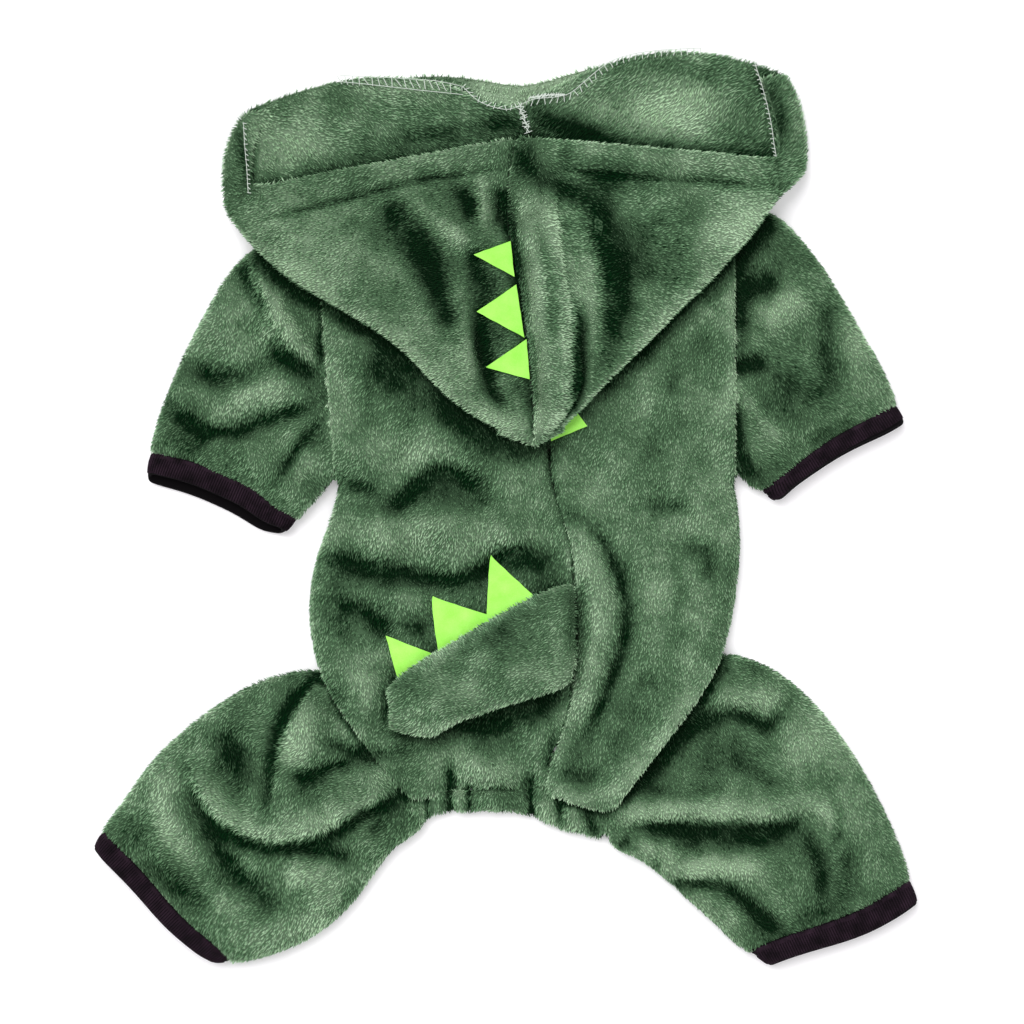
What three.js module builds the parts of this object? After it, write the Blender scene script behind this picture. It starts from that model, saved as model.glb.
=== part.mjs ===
// Dinosaur costume for a medium dog, laid flat on its belly with the hood turned back.
// Millimetres. X runs across the garment, +Y from the hem to the neck, +Z up from the table.
import * as THREE from "three";

// Driving sizes
const WALL = 2.6; // fleece with its pile
const RIB_WALL = 2.9; // rib binding folded over the cloth's edge
const FELT = 1.5; // spikes
const SEAM = 0.3; // gap where two pieces meet
const LAYER_GAP = 1.0; // gap between cloth lying on cloth
const BODY_HEIGHT = 8.4; // back and belly together, with the slack between them
const LIMB_HEIGHT = 8.2; // sleeves and legs, flattened
const CUFF_HEIGHT = 8.8;
const CUFF_DEPTH = 10; // width of the rib binding
const HOOD_HEIGHT = 6.6; // both layers of the hood
const TAIL_HEIGHT = 10;
const TAIL_WALL = 2.2;
const TAIL_RIM = 1.3; // height of a tail panel's edge at its seam
const TAIL_LENGTH = 96;
const HEM_HEIGHT = 6.8; // casing round the elastic
const HEM_WALL = 2.2;
const HEM_PUFF = 1.4; // how far the casing swells over the elastic
const HEM_UNDER = 0.8; // share of the casing's width that turns back under it
const SIDE_TURN = (150 * Math.PI) / 180; // how far the back wraps round the side before its seam
const BELLY_GAP = 1.2; // from the belly's edge to the back's, round the side
const LEG_LIFT = 4.5; // rise of the back's edge where it lies on the start of a leg
const SPIKE_GAP = 0.6; // from the hood to the spikes on it
const SPIKE_TIP = 0.08; // a spike's tip is cut this share as wide as its base

// How far folds and rises run out before an edge
const BACK_FADE = 12; // the back's folds, before its side
const LAP_FADE = 22; // the back's rise on to a leg
const LIMB_FADE = 9; // the folds of a sleeve or leg, before its side folds
const LIMB_START = 1 / 5; // share of a limb's length over which its folds begin
const LIMB_END = 1 / 8; // share of a limb's length over which its folds end
const HOOD_FADE = 10; // the hood's folds, before its side folds
const CASING_FADE = 22; // the casing of the face opening, towards the tip
const CASING_SIDE = 14; // the same casing, towards the side folds

// How finely the cloth is divided
const BODY_STEPS = 27;
const BACK_COLUMNS = 12;
const EDGE_DENSITY = 1.5; // the back's columns lie closer together towards the side
const SLEEVE_STEPS = 12;
const LEG_STEPS = 14;
const HOOD_STEPS = 19;
const NOSE_STEPS = 3; // rows that round off the hood's tip

// Colours, roughness and metalness
const FLEECE = new THREE.MeshStandardMaterial({ color: 0x5f7f60, roughness: 0.92, metalness: 0 });
const RIB = new THREE.MeshStandardMaterial({ color: 0x1f1520, roughness: 0.85, metalness: 0 });
const LIME_FELT = new THREE.MeshStandardMaterial({ color: 0xb4f46c, roughness: 0.9, metalness: 0 });

// Tables: one row for each section, from the neck down or from the root out.
// l is the left side, s the centre seam, r the right side, each with x and y.
// wl, wr: 1 where the back wraps round the side, 0 along an armhole or leg seam.
// ll, lr: how far the back's edge laps over the leg. bow: bulge of the row towards the neck.
const BODY = table("lx ly sx sy rx ry wl wr ll lr bow belly h", [
  [-72, 188, 9, 181, 90, 199, 1, 1, 0, 0, 7, 7, 8.4],
  [-77, 172, 9.5, 169, 94, 180, 1, 1, 0, 0, 4, 3, 8.4],
  [-81, 152, 10.5, 151, 97.5, 158, 1, 1, 0, 0, 2, 0, 8.4],
  [-83.5, 136, 12, 136, 100, 138, 1, 1, 0, 0, 0, 0, 8.4],
  [-84.5, 127, 12.8, 127, 101.5, 128, 1, 1, 0, 0, 0, 0, 8.4],
  [-85, 118.5, 13.5, 118.5, 103, 118.5, 0, 0, 0, 0, 0, 0, 8.4],
  [-83.4, 99, 14.6, 99, 103.1, 99, 0, 0, 0, 0, 0, 0, 8.4],
  [-81.8, 79, 16, 79, 103.2, 79, 0, 0, 0, 0, 0, 0, 8.4],
  [-80.2, 59, 17.7, 59, 103.3, 59, 0, 0, 0, 0, 0, 0, 8.4],
  [-78.6, 39, 18.5, 39, 103.4, 39, 0, 0, 0, 0, 0, 0, 8.4],
  [-77.2, 22, 19.5, 22, 103.5, 22, 0, 0, 0, 0, 0, 0, 8.4],
  [-76.6, 14, 20.5, 13.5, 103.5, 15, 0, 0, 0, 0, 0, 0, 8.4],
  [-76.5, 4, 22.5, 3, 104.5, 4, 1, 1, 0, 0, 0, 0, 8.4],
  [-79.5, -9, 26.5, -9, 105.5, -9, 1, 1, 0, 0, 0, 0, 8.4],
  [-85, -21, 30, -21, 106, -21, 1, 1, 0, 0, 0, 0, 8.4],
  [-88.5, -37, 31.5, -37, 104.5, -37, 1, 1, 0, 0, 0, 0, 8.4],
  [-89, -52, 32.5, -52, 102.5, -50, 1, 1, 0, 0, 0, 0, 8.4],
  [-87, -65, 32.5, -65, 100, -59.5, 1, 1, 0, 0, 0, 0, 8.4],
  [-80, -75, 31.5, -75, 93, -68, 0, 0, 4, 5, 0, 0, 8.4],
  [-72, -87, 30, -87, 85.4, -79, 0, 0, 5, 7, 0, 0, 8.4],
  [-64, -99, 27, -98, 76.4, -92, 0, 0, 5, 7, 0, 0, 8.4],
  [-56, -111, 23, -109, 66.7, -106, 0, 0, 5, 6, 0, 0, 8.2],
  [-49, -121, 19, -119, 56.4, -121, 0, 0, 4, 4, 0, 0, 7.6],
  [-43, -128.5, 17, -126.5, 48.5, -132.5, 0, 0, 1, 1, 0, 0, 6.8],
]);
const BELLY_ROWS = 0.9; // share of the body's length that the belly reaches, the rest is cut away

// a is the leading edge, b the underarm or crotch edge
const SLEEVE_LEFT = table("ax ay bx by", [
  [-85.4, 117, -77, 14.5],
  [-94, 121, -77.8, 12.5],
  [-109.5, 118, -79, 10.5],
  [-123, 107.5, -81, 8],
  [-133.5, 89.5, -83.5, 5],
  [-143, 71.5, -86, 2],
  [-151, 54, -89, -1],
  [-157, 38, -91, -4],
  [-161, 22.5, -93.5, -7],
]);
const SLEEVE_RIGHT = table("ax ay bx by", [
  [103.5, 117, 103.9, 15.5],
  [111, 131, 105, 14],
  [121, 131.5, 106, 13],
  [132.5, 120.5, 107.5, 11.5],
  [143.5, 106.5, 109, 10],
  [153, 91, 110.5, 8.5],
  [162, 75, 112, 7.5],
  [170.5, 61, 113.5, 7],
  [177, 45, 115.5, 6.5],
]);
const LEG_LEFT = table("ax ay bx by", [
  [-80.3, -75.6, -40.6, -134.5],
  [-88.5, -74.5, -42.5, -142],
  [-99.5, -76.5, -46, -149],
  [-114, -81, -51, -155.5],
  [-127.5, -89, -57.5, -163.5],
  [-140, -98, -63.5, -172.5],
  [-152, -108, -70.5, -181.5],
  [-162, -119, -81, -191],
  [-171, -132, -93.5, -198.5],
  [-177.5, -141, -107, -203.5],
  [-182, -147, -122, -207],
]);
const LEG_RIGHT = table("ax ay bx by", [
  [93.5, -68.3, 46.4, -137],
  [101, -67.5, 50, -147],
  [111, -70, 55, -155],
  [123.5, -76, 62, -161],
  [135, -85.5, 70.5, -167.5],
  [146, -97.5, 78.5, -174.5],
  [156, -111, 86.5, -182],
  [164.5, -125.5, 94, -188.5],
  [172, -140.5, 100, -194.5],
  [178, -154.5, 104.5, -198.5],
  [182, -167, 109, -201.5],
]);

// From the tip to the face opening, then up the under layer to the neck.
// l and r are the side folds, s the crown seam, n the nape seam of the under layer.
const HOOD = table("lx ly sx sy rx ry nx ny bowl bowr roll", [
  [-3, 35, 12.5, 29.5, 26, 36, 13, 31, 0, 0, 2],
  [-16, 41, 13, 37.5, 34.5, 43.5, 13, 39, 0, 0, 8],
  [-29, 52, 12.5, 48, 43, 53, 13, 50, 0, 0, 10],
  [-40, 64, 11.5, 60, 52, 61.5, 13, 64, 0, 0, 10],
  [-54, 76, 10, 73, 65, 74.5, 13, 80, 0, 0, 10],
  [-70, 86, 8, 87, 80, 89.5, 12, 96, 0, 0, 10],
  [-86, 94.5, 5.5, 101, 94, 103, 12, 112, 0, 0, 10],
  [-100, 104, 3, 115.5, 106, 116, 11, 128, 0, 0, 9],
  [-112, 115, 1.5, 128.5, 116, 129, 10, 143, 2, 2, 7],
  [-121, 125, 2, 141, 124, 139.5, 10, 156, 5, 5, 4],
  [-126, 133, 4.5, 154, 133, 147, 9, 165, 8, 10, 2],
  [-127, 140.5, 7.5, 165.5, 136, 154, 9, 170, 10, 13, 0],
  [-127.5, 151, 7.5, 168, 135.5, 167, 9, 173, 12, 15, 0],
  [-125.5, 164.5, 7.5, 172, 133, 181, 8, 176, 14, 17, 0],
  [-117, 178, 7.5, 176, 126.5, 194, 6, 178.5, 15, 18, 0],
]);
const HOOD_OPENING = 11; // the row of the table at the face opening
const ROLL_WIDTH = 22; // the roll that stands along the crown seam
const ROLL_SHARE = 0.68; // most of the panel's width that the roll takes at the tip
const CASING_RISE = 3.4; // the doubled hem of the face opening
const FACING = 12; // strip turned in at the ends of the face opening
const FACING_SHARE = 0.45; // the strip's width towards the tip, as a share of the panel's
const FACING_FOLD = 0.45; // place of the column between the side fold and that strip
const HOOD_NOSE = 0.06; // height left at the very tip, as a share of the hood's
const OPENING_WALL = 4; // wall at the corner where the face opening's edge turns
// Beside the body the hood sinks to the table: from where, over what run, and how near to it
const OVERHANG = { leftX: -87, leftY: 124, rightX: 104, rightY: 135, run: 24, clear: 0.5 };
const TIP_LIFT = { height: 1.6, y: 82, run: 24 }; // the hood's tip lies on the back spike
const NECK_DROP = { height: 0.6, y: 168, run: 10 }; // the hood's under layer nears the neck seam

// u is the edge with the spikes, v the other edge, from the root to the tip
const TAIL = table("ux uy vx vy", [
  [32.5, -34.5, 32.5, -82.5],
  [20, -37.5, 21, -86],
  [6, -45.5, 9, -88.5],
  [-8.5, -54.5, -3.5, -92.5],
  [-22.5, -63, -18, -97],
  [-36, -70.5, -30.5, -102],
  [-46.5, -77, -41.5, -105],
  [-53, -84.5, -50, -99],
]);

// Elastic casing at the hem, from the left leg to the right leg: top edge and bottom edge
const HEM = table("ux uy vx vy", [
  [-40.5, -130.2, -37, -145],
  [-30, -129, -30.5, -141],
  [-16, -128.1, -17, -139.5],
  [0, -127.9, 0, -139.5],
  [15, -128.2, 13, -142.5],
  [30, -130.9, 26, -148],
  [45, -134, 40, -151],
]);
const HEM_NICKS = table("at depth", [
  [0.08, 1.1],
  [0.17, 1.5],
  [0.27, 1.4],
  [0.41, 1.1],
  [0.54, 1.3],
  [0.66, 1.7],
  [0.78, 1.2],
  [0.9, 1.6],
]);
const NICK_WIDTH = 0.026; // share of the casing's length

// Folds: rise of the cloth along a path, and how far it falls off on its left and right side
const BACK_FOLDS = [
  { rise: 4.6, left: 11, right: 7.5, path: [[20, 22], [31, -7], [43, -29], [44, -56], [39, -83], [26, -112]] },
  { rise: -1.4, left: 7, right: 8, path: [[46, -5], [60, -30], [61, -62], [54, -90]] },
  { rise: 3.2, left: 15, right: 13, path: [[86, -20], [84, -50], [72, -78], [52, -104]] },
  { rise: 3.4, left: 10, right: 9, path: [[-74, -8], [-50, -11], [-20, -7], [16, -17]] },
  { rise: -1.8, left: 8, right: 8, path: [[-68, 14], [-40, 10], [-14, 5]] },
  { rise: 2.8, left: 13, right: 9, path: [[-66, 48], [-40, 32], [-8, 24], [12, 16]] },
  { rise: -1.6, left: 7, right: 7, path: [[-46, -26], [-20, -29], [20, -33]] },
  { rise: 3, left: 13, right: 11, path: [[-78, -30], [-74, -60], [-56, -92]] },
  { rise: 3.2, left: 7, right: 7, path: [[-22, -104], [-18, -116], [-20, -128]] },
  { rise: 3, left: 7, right: 7, path: [[0, -100], [-3, -114], [-3, -128]] },
  { rise: 3.2, left: 7, right: 7, path: [[30, -108], [30, -120], [36, -134]] },
];
const SLEEVE_LEFT_FOLDS = [
  { rise: 6, left: 15, right: 8, path: [[-119, 100], [-110, 84], [-95, 68], [-84, 58]] },
  { rise: 4.6, left: 9, right: 20, path: [[-82, 44], [-96, 26], [-107, 6]] },
  { rise: -1.6, left: 8, right: 8, path: [[-126, 34], [-99, 44], [-84, 47]] },
];
const SLEEVE_RIGHT_FOLDS = [
  { rise: -1.8, left: 7, right: 8, path: [[104, 54], [114, 38], [125, 24]] },
  { rise: 3.6, left: 11, right: 10, path: [[106, 66], [121, 50], [134, 30]] },
  { rise: 2.4, left: 16, right: 16, path: [[112, 112], [134, 84], [150, 50]] },
];
const LEG_LEFT_FOLDS = [
  { rise: 6.4, left: 20, right: 7.5, path: [[-78, -82], [-93, -96], [-102, -118], [-105, -140], [-105, -154]] },
  { rise: 6, left: 18, right: 7.5, path: [[-138, -134], [-118, -147], [-98, -152], [-74, -144], [-50, -130]] },
  { rise: -1.6, left: 8, right: 8, path: [[-88, -124], [-76, -119], [-62, -114]] },
  { rise: 2.4, left: 12, right: 12, path: [[-150, -122], [-132, -112], [-116, -98]] },
];
const LEG_RIGHT_FOLDS = [
  { rise: 4.4, left: 11, right: 8, path: [[76, -100], [90, -95], [104, -93], [124, -98]] },
  { rise: 6.4, left: 15, right: 7.5, path: [[62, -138], [86, -135], [112, -135], [136, -141]] },
  { rise: -1.6, left: 8, right: 7, path: [[62, -147], [86, -148], [116, -147], [136, -144]] },
  { rise: 3.4, left: 9, right: 9, path: [[132, -148], [140, -160], [141, -176]] },
  { rise: 3, left: 8, right: 9, path: [[74, -168], [90, -171], [108, -169]] },
];
const HOOD_FOLDS = [
  { rise: 3.4, left: 14, right: 16, path: [[-22, 142], [-30, 116], [-14, 74], [-4, 52]] },
  { rise: 3, left: 17, right: 14, path: [[-98, 118], [-74, 102], [-48, 84], [-30, 62]] },
  { rise: -1.5, left: 10, right: 10, path: [[-62, 134], [-50, 108], [-30, 82]] },
  { rise: 3.6, left: 13, right: 18, path: [[62, 140], [66, 112], [54, 80], [42, 62]] },
  { rise: -1.5, left: 8, right: 9, path: [[36, 140], [42, 110], [44, 84]] },
  { rise: 2.6, left: 14, right: 14, path: [[112, 136], [100, 120], [84, 104]] },
];

// Spikes of the hood lie with their base along the crown seam, the back one on the back seam
const HOOD_SPIKES = table("px py qx qy ax ay", [
  [1.1, 118.6, 4.3, 101.2, -14.2, 111.8],
  [4.6, 98.8, 9, 74.8, -12.8, 86.2],
  [9, 74, 10.8, 56, -8.8, 61.4],
]);
const BACK_SPIKE = table("px py qx qy ax ay", [[20.5, 56, 20.5, 28.5, 36.7, 35.3]]);
// Spikes of the tail: where the base starts and ends along the tail, and the apex
const TAIL_SPIKES = table("from to ax ay", [
  [0.235, 0.485, -6.5, -22.9],
  [0.49, 0.71, -32.6, -41.2],
  [0.715, 0.885, -53.8, -59.2],
]);

// Names the columns of a table
function table(names, rows) {
  const keys = names.split(" ");
  return rows.map((row) => Object.fromEntries(keys.map((key, k) => [key, row[k]])));
}

function clamp(value, low, high) {
  return Math.min(Math.max(value, low), high);
}

function mix(a, b, t) {
  return a + (b - a) * t;
}

function smooth(t) {
  const c = clamp(t, 0, 1);
  return c * c * (3 - 2 * c);
}

// A row of a table at any place between its first (0) and last (1) row, on smooth curves
function station(rows, place) {
  const along = clamp(place, 0, 1) * (rows.length - 1);
  const first = Math.min(Math.floor(along), rows.length - 2);
  const f = along - first;
  const row = (k) => rows[clamp(k, 0, rows.length - 1)];
  const result = {};
  for (const key of Object.keys(rows[0])) {
    const [p, q, r, s] = [first - 1, first, first + 1, first + 2].map((k) => row(k)[key]);
    const even = 2 * p - 5 * q + 4 * r - s;
    const odd = 3 * q - p - 3 * r + s;
    result[key] = 0.5 * (2 * q + (r - p) * f + even * f * f + odd * f * f * f);
  }
  return result;
}

// The plan point at a distance from an edge point towards an inner point
function inward(edge, inner, distance) {
  const length = Math.hypot(inner.x - edge.x, inner.y - edge.y);
  const f = distance / length;
  return { x: mix(edge.x, inner.x, f), y: mix(edge.y, inner.y, f) };
}

// How much one fold lifts the cloth at a plan point
function foldRise(fold, x, y) {
  const { path } = fold;
  let total = 0;
  let best = { gap: Infinity };
  for (let k = 0; k + 1 < path.length; k += 1) {
    const [ax, ay] = path[k];
    const dx = path[k + 1][0] - ax;
    const dy = path[k + 1][1] - ay;
    const length = Math.hypot(dx, dy);
    const t = clamp(((x - ax) * dx + (y - ay) * dy) / (length * length), 0, 1);
    const gap = Math.hypot(x - ax - t * dx, y - ay - t * dy);
    if (gap < best.gap) {
      const side = dx * (y - ay) - dy * (x - ax) > 0 ? fold.left : fold.right;
      best = { gap, side, along: total + t * length };
    }
    total += length;
  }
  const ends = smooth(Math.min(best.along, total - best.along) / (0.25 * total));
  return fold.rise * ends * Math.exp(-((best.gap / best.side) ** 2));
}

function foldHeight(folds, x, y) {
  return folds.reduce((sum, fold) => sum + foldRise(fold, x, y), 0);
}

// The next point of an even curve through three points, newest first
function onward(newest, middle, oldest) {
  return newest.clone().sub(middle).multiplyScalar(3).add(oldest);
}

// A closed wall of cloth. grid holds the points of its outside, row by row. The inside is the
// same grid set in by the wall, and edges join the two. upColumn is a column that faces up.
// square: a column across from the first one, in line with which the first and last row are cut.
function clothWall(name, material, grid, options) {
  const { wall = WALL, ring = false, upColumn = 1, faceDown = false, square, active, trim } = options;
  const rows = grid.length;
  const columns = grid[0].length;
  const spans = ring ? columns : columns - 1;
  const at = (i, j) => grid[i][ring ? (j + columns) % columns : j];
  const near = (i, j) => {
    const past = i < 0 ? [0, 1] : i >= rows ? [rows - 1, -1] : null;
    if (past) return onward(near(past[0], j), near(past[0] + past[1], j), near(past[0] + 2 * past[1], j));
    if (ring || (j >= 0 && j < columns)) return at(i, j);
    const [last, step] = j < 0 ? [0, 1] : [columns - 1, -1];
    return onward(at(i, last), at(i, last + step), at(i, last + 2 * step));
  };
  const normal = (i, j) => {
    const across = near(i, j + 1).clone().sub(near(i, j - 1));
    const along = near(i + 1, j).clone().sub(near(i - 1, j));
    const result = across.cross(along).normalize();
    if (square && (i === 0 || i === rows - 1)) {
      const span = at(i, square).clone().sub(at(i, 0)).setZ(0).normalize();
      const skew = result.x * span.y - result.y * span.x;
      result.x -= skew * span.y;
      result.y += skew * span.x;
      result.normalize();
    }
    return result;
  };
  const facing = normal(Math.floor(rows / 3), upColumn).z > 0 !== faceDown ? 1 : -1;
  const isActive = (i, j) => {
    if (i < 0 || i >= rows - 1) return false;
    if (ring) return active ? active(i, (j + columns) % columns) : true;
    return j >= 0 && j < spans && (active ? active(i, j) : true);
  };
  const positions = [];
  const numbers = new Map();
  const vertex = (i, j, inside) => {
    const column = ring ? (j + columns) % columns : j;
    const key = `${i} ${column} ${inside}`;
    if (!numbers.has(key)) {
      numbers.set(key, positions.length / 3);
      const point = at(i, column).clone();
      if (inside) {
        const depth = typeof wall === "function" ? wall(i, column) : wall;
        point.addScaledVector(normal(i, column), -facing * depth);
        if (trim) trim(point, i, column);
      }
      positions.push(point.x, point.y, point.z);
    }
    return numbers.get(key);
  };
  const faces = [];
  const quad = (a, b, c, d, turned) => {
    if (turned) faces.push(a, c, b, a, d, c);
    else faces.push(a, b, c, a, c, d);
  };
  const turned = facing < 0;
  for (let i = 0; i < rows - 1; i += 1) {
    for (let j = 0; j < spans; j += 1) {
      if (!isActive(i, j)) continue;
      const corners = [[i, j], [i, j + 1], [i + 1, j + 1], [i + 1, j]];
      const outer = corners.map(([r, c]) => vertex(r, c, false));
      const inner = corners.map(([r, c]) => vertex(r, c, true));
      quad(...outer, turned);
      quad(...inner, !turned);
      const neighbours = [[i - 1, j], [i, j + 1], [i + 1, j], [i, j - 1]];
      neighbours.forEach(([r, c], k) => {
        if (isActive(r, c)) return;
        const next = (k + 1) % 4;
        quad(outer[next], outer[k], inner[k], inner[next], turned);
      });
    }
  }
  const geometry = new THREE.BufferGeometry();
  geometry.setAttribute("position", new THREE.Float32BufferAttribute(positions, 3));
  geometry.setIndex(faces);
  geometry.computeVertexNormals();
  const mesh = new THREE.Mesh(geometry, material);
  mesh.name = name;
  return mesh;
}

// Top of the back at a plan point
function backTop(x, y) {
  return BODY_HEIGHT + foldHeight(BACK_FOLDS, x, y);
}

// One half of the back, from the centre seam to the side seam, or to the armhole and leg seams
function backPanel(name, side) {
  const grid = [];
  for (let i = 0; i <= BODY_STEPS; i += 1) {
    const row = station(BODY, i / BODY_STEPS);
    const wrap = clamp(side < 0 ? row.wl : row.wr, 0, 1);
    const lap = Math.max(side < 0 ? row.ll : row.lr, 0);
    const seam = { x: row.sx + (side * SEAM) / 2, y: row.sy };
    const line = { x: side < 0 ? row.lx : row.rx, y: side < 0 ? row.ly : row.ry };
    const edge = inward(line, seam, -lap);
    const radius = row.h / 2;
    const turn = wrap * SIDE_TURN;
    const reach = radius * Math.sin(Math.min(turn, Math.PI / 2));
    const width = Math.hypot(edge.x - seam.x, edge.y - seam.y);
    const flat = width - reach;
    const length = flat + radius * turn;
    const lift = LEG_LIFT * Math.min(lap / SEAM, 1);
    const points = [];
    for (let j = 0; j <= BACK_COLUMNS; j += 1) {
      const s = length * (1 - (1 - j / BACK_COLUMNS) ** EDGE_DENSITY);
      const bend = Math.max(s - flat, 0) / radius;
      const out = Math.min(s, flat) + radius * Math.sin(bend);
      const plan = inward(edge, seam, width - out);
      plan.y += row.bow * Math.sin((Math.PI * out) / width);
      const fade = smooth((flat - s) / BACK_FADE);
      const folds = foldHeight(BACK_FOLDS, plan.x, plan.y) * fade;
      const raised = folds + lift * smooth(1 - (flat - s) / LAP_FADE);
      const round = radius + radius * Math.cos(bend) + (wrap === 0 ? lift : 0);
      const z = s < flat ? row.h + raised : round;
      points.push(new THREE.Vector3(plan.x, plan.y, z));
    }
    grid.push(points);
  }
  const trim = (inside, i, j) => {
    if (j === 0) inside.x = grid[i][0].x;
  };
  return clothWall(name, FLEECE, grid, { upColumn: 1, trim });
}

// The belly lies on the table and turns up to the side seams
function belly() {
  const bend = 2;
  const flatColumns = 8;
  const grid = [];
  const last = Math.round(BODY_STEPS * BELLY_ROWS);
  for (let i = 0; i <= last; i += 1) {
    const row = station(BODY, i / BODY_STEPS);
    const radius = row.h / 2;
    const left = { x: row.lx, y: row.ly };
    const right = { x: row.rx, y: row.ry };
    const middle = { x: row.sx, y: row.sy + row.belly };
    const points = [];
    const place = (edge, distance, z) => {
      const plan = inward(edge, middle, distance);
      const width = Math.hypot(edge.x - middle.x, edge.y - middle.y);
      plan.y += row.bow * Math.sin((Math.PI * distance) / width);
      points.push(new THREE.Vector3(plan.x, plan.y, z));
    };
    const corner = (edge, wrap, k) => {
      const start = mix(Math.PI, SIDE_TURN + BELLY_GAP / radius, clamp(wrap, 0, 1));
      const turn = mix(start, Math.PI, k / bend);
      const stretch = (1 - clamp(wrap, 0, 1)) * radius * (k / bend);
      const setIn = clamp(wrap, 0, 1) * radius * (1 - Math.sin(turn));
      place(edge, setIn + stretch, radius + radius * Math.cos(turn));
    };
    const flatStart = (edge, k) => {
      const width = Math.hypot(edge.x - middle.x, edge.y - middle.y);
      return mix(radius, width, k / (flatColumns / 2));
    };
    for (let k = 0; k <= bend; k += 1) corner(left, row.wl, k);
    for (let k = 1; k < flatColumns / 2; k += 1) place(left, flatStart(left, k), 0);
    points.push(new THREE.Vector3(middle.x, middle.y, 0));
    for (let k = flatColumns / 2 - 1; k > 0; k -= 1) place(right, flatStart(right, k), 0);
    for (let k = bend; k >= 0; k -= 1) corner(right, row.wr, k);
    grid.push(points);
  }
  return clothWall("belly", FLEECE, grid, { upColumn: bend + flatColumns / 2, faceDown: true });
}

// Points round a flattened tube between two plan points: over the top from a to b, then back
function tubeRing(a, b, height, folds, columns, share = 1) {
  const radius = height / 2;
  const width = Math.hypot(b.x - a.x, b.y - a.y);
  const points = [];
  const put = (distance, z) => {
    const plan = inward(a, b, distance);
    const fade = smooth((Math.min(distance, width - distance) - radius) / LIMB_FADE);
    const raised = z > radius ? foldHeight(folds, plan.x, plan.y) * fade * share : 0;
    points.push(new THREE.Vector3(plan.x, plan.y, z + raised));
  };
  const bend = (edge, sign, from) => {
    for (let k = 0; k < columns.bend; k += 1) {
      const turn = from + (Math.PI * k) / columns.bend;
      put(edge + sign * radius * (1 - Math.abs(Math.sin(turn))), radius + radius * Math.cos(turn));
    }
  };
  for (let k = 0; k < columns.top; k += 1) put(mix(radius, width - radius, k / columns.top), height);
  bend(width, -1, 0);
  for (let k = 0; k < columns.under; k += 1) put(mix(width - radius, radius, k / columns.under), 0);
  bend(0, 1, Math.PI);
  return points;
}

function tube(name, rows, folds, steps) {
  const columns = { top: 10, under: 4, bend: 4 };
  const grid = [];
  for (let i = 0; i <= steps; i += 1) {
    const row = station(rows, i / steps);
    const share = smooth(i / steps / LIMB_START) * smooth((1 - i / steps) / LIMB_END);
    const a = { x: row.ax, y: row.ay };
    grid.push(tubeRing(a, { x: row.bx, y: row.by }, LIMB_HEIGHT, folds, columns, share));
  }
  return clothWall(name, FLEECE, grid, { ring: true, upColumn: 4, square: columns.top });
}

// Rib binding past the end of a limb. under: how much further its lower layer reaches.
function cuff(name, rows, under) {
  const columns = { top: 8, under: 4, bend: 4 };
  const clear = SEAM + 0.1;
  const last = station(rows, 1);
  const before = station(rows, 0.96);
  const a = { x: last.ax, y: last.ay };
  const b = { x: last.bx, y: last.by };
  const outward = (edge, inner) => inward(edge, inner, -1);
  const stepA = outward(a, { x: before.ax, y: before.ay });
  const stepB = outward(b, { x: before.bx, y: before.by });
  const steps = 2;
  const grid = [];
  for (let i = 0; i <= steps; i += 1) {
    const ring = [a, b].map((point, k) => {
      const step = k === 0 ? stepA : stepB;
      const reach = mix(clear, CUFF_DEPTH, i / steps);
      return { x: point.x + (step.x - point.x) * reach, y: point.y + (step.y - point.y) * reach };
    });
    const points = tubeRing(ring[0], ring[1], CUFF_HEIGHT, [], columns);
    const drift = { x: stepA.x - a.x + stepB.x - b.x, y: stepA.y - a.y + stepB.y - b.y };
    for (const point of points) {
      const share = ((i / steps) * under * smooth(1 - point.z / CUFF_HEIGHT)) / 2;
      point.x += drift.x * share;
      point.y += drift.y * share;
    }
    grid.push(points);
  }
  return clothWall(name, RIB, grid, { ring: true, upColumn: 4, square: columns.top, wall: RIB_WALL });
}

// Underside of the hood: on the body and sleeves, and down to the table beside them
function hoodBase(x, y) {
  const overLeft = Math.min(OVERHANG.leftX - x, y - OVERHANG.leftY);
  const overRight = Math.min(x - OVERHANG.rightX, y - OVERHANG.rightY);
  const drop = smooth(Math.max(overLeft, overRight) / OVERHANG.run);
  const nearTip = TIP_LIFT.height * smooth((TIP_LIFT.y - y) / TIP_LIFT.run);
  const nearNeck = NECK_DROP.height * smooth((y - NECK_DROP.y) / NECK_DROP.run);
  const resting = BODY_HEIGHT + LAYER_GAP + nearTip - nearNeck;
  return mix(resting, OVERHANG.clear, drop);
}

function hoodTop(x, y) {
  return hoodBase(x, y) + HOOD_HEIGHT + foldHeight(HOOD_FOLDS, x, y);
}

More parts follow.
